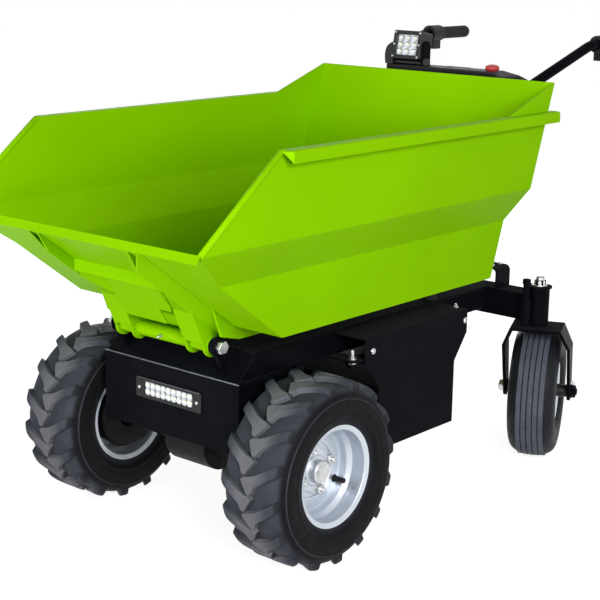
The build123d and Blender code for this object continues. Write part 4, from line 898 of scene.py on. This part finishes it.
# Console: blank display, key switch and rocker switches on the face towards the operator
PANEL_FALL, PANEL_RUN = 28.0, 85.0
ROCKER = [(-0.011, 0.003), (0.011, 0.003), (0.011, 0.0095), (0, 0.0055), (-0.011, 0.0065)]
ROCKER_FRAME = [(-0.008, -0.014), (0.008, -0.014), (0.008, 0.014), (-0.008, 0.014)]
DISPLAY = [(-0.032, -0.019), (0.032, -0.019), (0.032, 0.019), (-0.032, 0.019), (-0.032, -0.0188)]
KEY_SWITCH = [(0.0125, -0.001), (0.0125, 0.004), (0.0112, 0.0065), (0.0085, 0.0070), (0.0085, 0.0052),
              (0.0, 0.0052)]
face = frame_at(P(-950.0, 0, 962.0 - PANEL_FALL * 45.0 / PANEL_RUN), (-PANEL_FALL, 0, PANEL_RUN))
bm = bmesh.new()
block(bm, Vector((0, 0, 0.002)), (0.076, 0.050, 0.008), face)
for y in (-0.082, -0.060, 0.062):
    prism(bm, [(y + u, v) for u, v in ROCKER_FRAME], face, 0.004)
    slab(bm, [face @ Vector((y - 0.006, v, h)) for v, h in ROCKER],
         face.to_3x3() @ Vector((0.012, 0, 0)))
piece("console_switches", bm, "black_plastic", "chassis", bevel=0.0012, segments=2)
bm = bmesh.new()
prism(bm, rounded(DISPLAY, 1)[:-1], face @ Matrix.Translation((0, 0, 0.0055)), 0.0014)
piece("console_display", bm, "display_glass", "chassis", bevel=0.0004, segments=1)
bm = bmesh.new()
m = face @ Matrix.Translation((0.094, 0.0, 0.0))
turned(bm, KEY_SWITCH, m, 32)
block(bm, Vector((0, 0, 0.0058)), (0.002, 0.010, 0.0024), m)
piece("console_key_switch", bm, "zinc", "chassis", bevel=0.0003, segments=1)

# Lamps: mirrored cups with diodes under a clear cover, and the fittings of the work lamp
MIRROR, DIODE = bmesh.new(), bmesh.new()


def lamp_cell(origin, along, r):
    m = frame_at(origin, along)
    turned(MIRROR, [(r * 0.34, 0.0), (r * 0.55, 0.0006), (r * 0.8, 0.0015), (r, 0.0028)], m, 24)
    turned(DIODE, [(0.0, 0.0007), (r * 0.2, 0.0006), (r * 0.36, 0.0)], m, 16)


for z in (LAMP_Z - 7.5, LAMP_Z + 7.5):
    for k in range(9):
        lamp_cell(P(105.5, (k - 4) * 15.8, z), (1, 0, 0), 0.0076)
block(MIRROR, P(105.3, 0, LAMP_Z), (0.0006, 0.1450, 0.0292))
TILT = radians(12.0)
WORK_LAMP_Y = -110.0
STRAP = [(-174.0, 962.0), (-177.0, 982.0), (-174.0, 1000.0), (-165.0, 1012.0), (-153.0, 1018.0)]
STRAP_FOOT = (-151.0, 962.0)
KNOB = [(0, -0.004), (0.0085, -0.004), (0.0098, -0.002), (0.0100, 0.002), (0.0098, 0.0062),
        (0.0086, 0.0082), (0.005, 0.0090), (0, 0.0078)]
lamp_out = Vector((cos(TILT), 0, sin(TILT)))
lamp_up = Vector((-sin(TILT), 0, cos(TILT)))
lamp_mid = P(-874.0, WORK_LAMP_Y, 1008.0)
lamp_face = lamp_mid + lamp_out * 0.016
for z in (-1.0, 0.0, 1.0):
    for y in (-1.0, 0.0, 1.0):
        cell = lamp_face + lamp_up * (z * 0.0166) + Vector((0, y * 0.0212, 0))
        lamp_cell(cell + lamp_out * 0.0003, lamp_out, 0.0079)
MIDDLE = Vector((0, 0, 0))
block(MIRROR, MIDDLE, (0.0650, 0.0510, 0.0006), frame_at(lamp_face + lamp_out * 0.0003, lamp_out))
bm = bmesh.new()
plate = frame_at(lamp_mid + lamp_out * 0.024, lamp_out)
for y in (-0.0385, 0.0385):
    for z in (-0.0305, 0.0, 0.0305):
        cap_screw(bm, plate @ Vector((y, z, 0)), lamp_out, 0.0027)
piece("work_lamp_screws", bm, "zinc", "chassis", bevel=0.0002, segments=1)
bm = bmesh.new()
for k in range(7):
    block(bm, Vector(((k - 3) * 0.0118, 0, -0.0505)), (0.0032, 0.060, 0.008), plate)
slab(bm, [P(-868.0, y, z) for y, z in rounded(STRAP, 2) + [STRAP_FOOT]], Vector((0.020, 0, 0)))
block(bm, P(-872.0, WORK_LAMP_Y, 966.4), (0.026, 0.080, 0.0096))
piece("work_lamp_fittings", bm, "lamp_body", "chassis", bevel=0.0006, segments=2)
bm = bmesh.new()
turned(bm, KNOB, frame_at(P(-852.0, -47.0, 972.0), (1, 0.8, 0)), 28)
piece("work_lamp_knob", bm, "black_plastic", "chassis", smooth=30.0)
piece("lamp_cups", MIRROR, "lamp_mirror", "chassis", smooth=60.0)
piece("lamp_diodes", DIODE, "lamp_diode", "chassis", smooth=60.0)

bm = bmesh.new()
block(bm, P(108.9, 0, LAMP_Z), (0.0012, 0.1456, 0.0296))
piece("front_lamp_cover", bm, "lamp_lens", "chassis", bevel=0.0004, replaces=["front_lamp_lens"])
bm = bmesh.new()
block(bm, MIDDLE, (0.0656, 0.0516, 0.0012), frame_at(lamp_mid + lamp_out * 0.0204, lamp_out))
piece("work_lamp_cover", bm, "lamp_lens", "chassis", bevel=0.0004, replaces=["work_lamp_lens"])

# Camera, light and floor
CAMERA_PLACE = (2.7216, 2.1862, 1.2793)
AMBIENT = 0.25
FLOOR_HALF = 14.0
FLOOR_GLOW = 0.85
cam_data = bpy.data.cameras.new("camera")
cam_data.sensor_fit = "HORIZONTAL"
cam_data.sensor_width = 36.0
cam_data.lens = 89.586
cam = bpy.data.objects.new("camera", cam_data)
scene.collection.objects.link(cam)
yaw, pitch, roll = radians(220.398), radians(-13.728), radians(0.908)
look = Vector((cos(yaw) * cos(pitch), sin(yaw) * cos(pitch), sin(pitch)))
right = look.cross(Vector(UP)).normalized()
up = right.cross(look)
rolled_right = right * cos(roll) + up * sin(roll)
rolled_up = -right * sin(roll) + up * cos(roll)
m = Matrix((rolled_right, rolled_up, -look)).transposed().to_4x4()
m.translation = CAMERA_PLACE
cam.matrix_world = m
scene.camera = cam


def area_light(name, place, target, size, power):
    data = bpy.data.lights.new(name, "AREA")
    data.shape = "RECTANGLE"
    data.size, data.size_y = size
    data.energy = power
    obj = bpy.data.objects.new(name, data)
    scene.collection.objects.link(obj)
    obj.matrix_world = frame_at(Vector(place), Vector(place) - Vector(target))


area_light("key", (2.2, 3.4, 1.9), (0, 0, 0.4), (1.8, 1.6), 118)
area_light("front", (4.2, 0.0, 0.35), (0, 0, 0.5), (2.2, 0.6), 95)
area_light("back", (-2.8, -3.0, 0.65), (0, 0, 0.5), (2.4, 1.0), 70)


def shown_rays(nodes, links):
    """1 for the rays that show the background: from the camera, off gloss and through glass."""
    path = nodes.new("ShaderNodeLightPath")
    shown = path.outputs["Is Camera Ray"]
    for kind in ("Is Glossy Ray", "Is Transmission Ray"):
        either = nodes.new("ShaderNodeMath")
        either.operation = "MAXIMUM"
        links.new(shown, either.inputs[0])
        links.new(path.outputs[kind], either.inputs[1])
        shown = either.outputs[0]
    return shown


world = bpy.data.worlds.new("studio")
scene.world = world
world.use_nodes = True
nodes, links = world.node_tree.nodes, world.node_tree.links
ambient = nodes["Background"]
ambient.inputs["Color"].default_value = (1, 1, 1, 1)
ambient.inputs["Strength"].default_value = AMBIENT
white = nodes.new("ShaderNodeBackground")
white.inputs["Color"].default_value = (1, 1, 1, 1)
white.inputs["Strength"].default_value = 1.0
mix = nodes.new("ShaderNodeMixShader")
links.new(shown_rays(nodes, links), mix.inputs["Fac"])
links.new(ambient.outputs[0], mix.inputs[1])
links.new(white.outputs[0], mix.inputs[2])
links.new(mix.outputs[0], nodes["World Output"].inputs["Surface"])

bm = bmesh.new()
bmesh.ops.create_grid(bm, x_segments=1, y_segments=1, size=FLOOR_HALF)
mesh = bpy.data.meshes.new("floor")
bm.to_mesh(mesh)
bm.free()
floor = bpy.data.objects.new("floor", mesh)
scene.collection.objects.link(floor)
fs = Shader("floor_pale")
fs.put(Roughness=0.9, Specular_IOR_Level=0.1)
fs.colour(fs.mix(fs.tone(0.6, 2.0), (0.48, 0.48, 0.48), (0.50, 0.50, 0.50)))
glow = fs.nodes.new("ShaderNodeEmission")
glow.inputs["Color"].default_value = (1, 1, 1, 1)
power = fs.nodes.new("ShaderNodeMath")
power.operation = "MULTIPLY"
power.inputs[1].default_value = FLOOR_GLOW
fs.links.new(shown_rays(fs.nodes, fs.links), power.inputs[0])
fs.links.new(power.outputs[0], glow.inputs["Strength"])
both = fs.nodes.new("ShaderNodeAddShader")
fs.links.new(fs.bsdf.outputs[0], both.inputs[0])
fs.links.new(glow.outputs[0], both.inputs[1])
fs.links.new(both.outputs[0], fs.nodes["Material Output"].inputs["Surface"])
mesh.materials.append(fs.mat)

scene.view_settings.view_transform = "Standard"
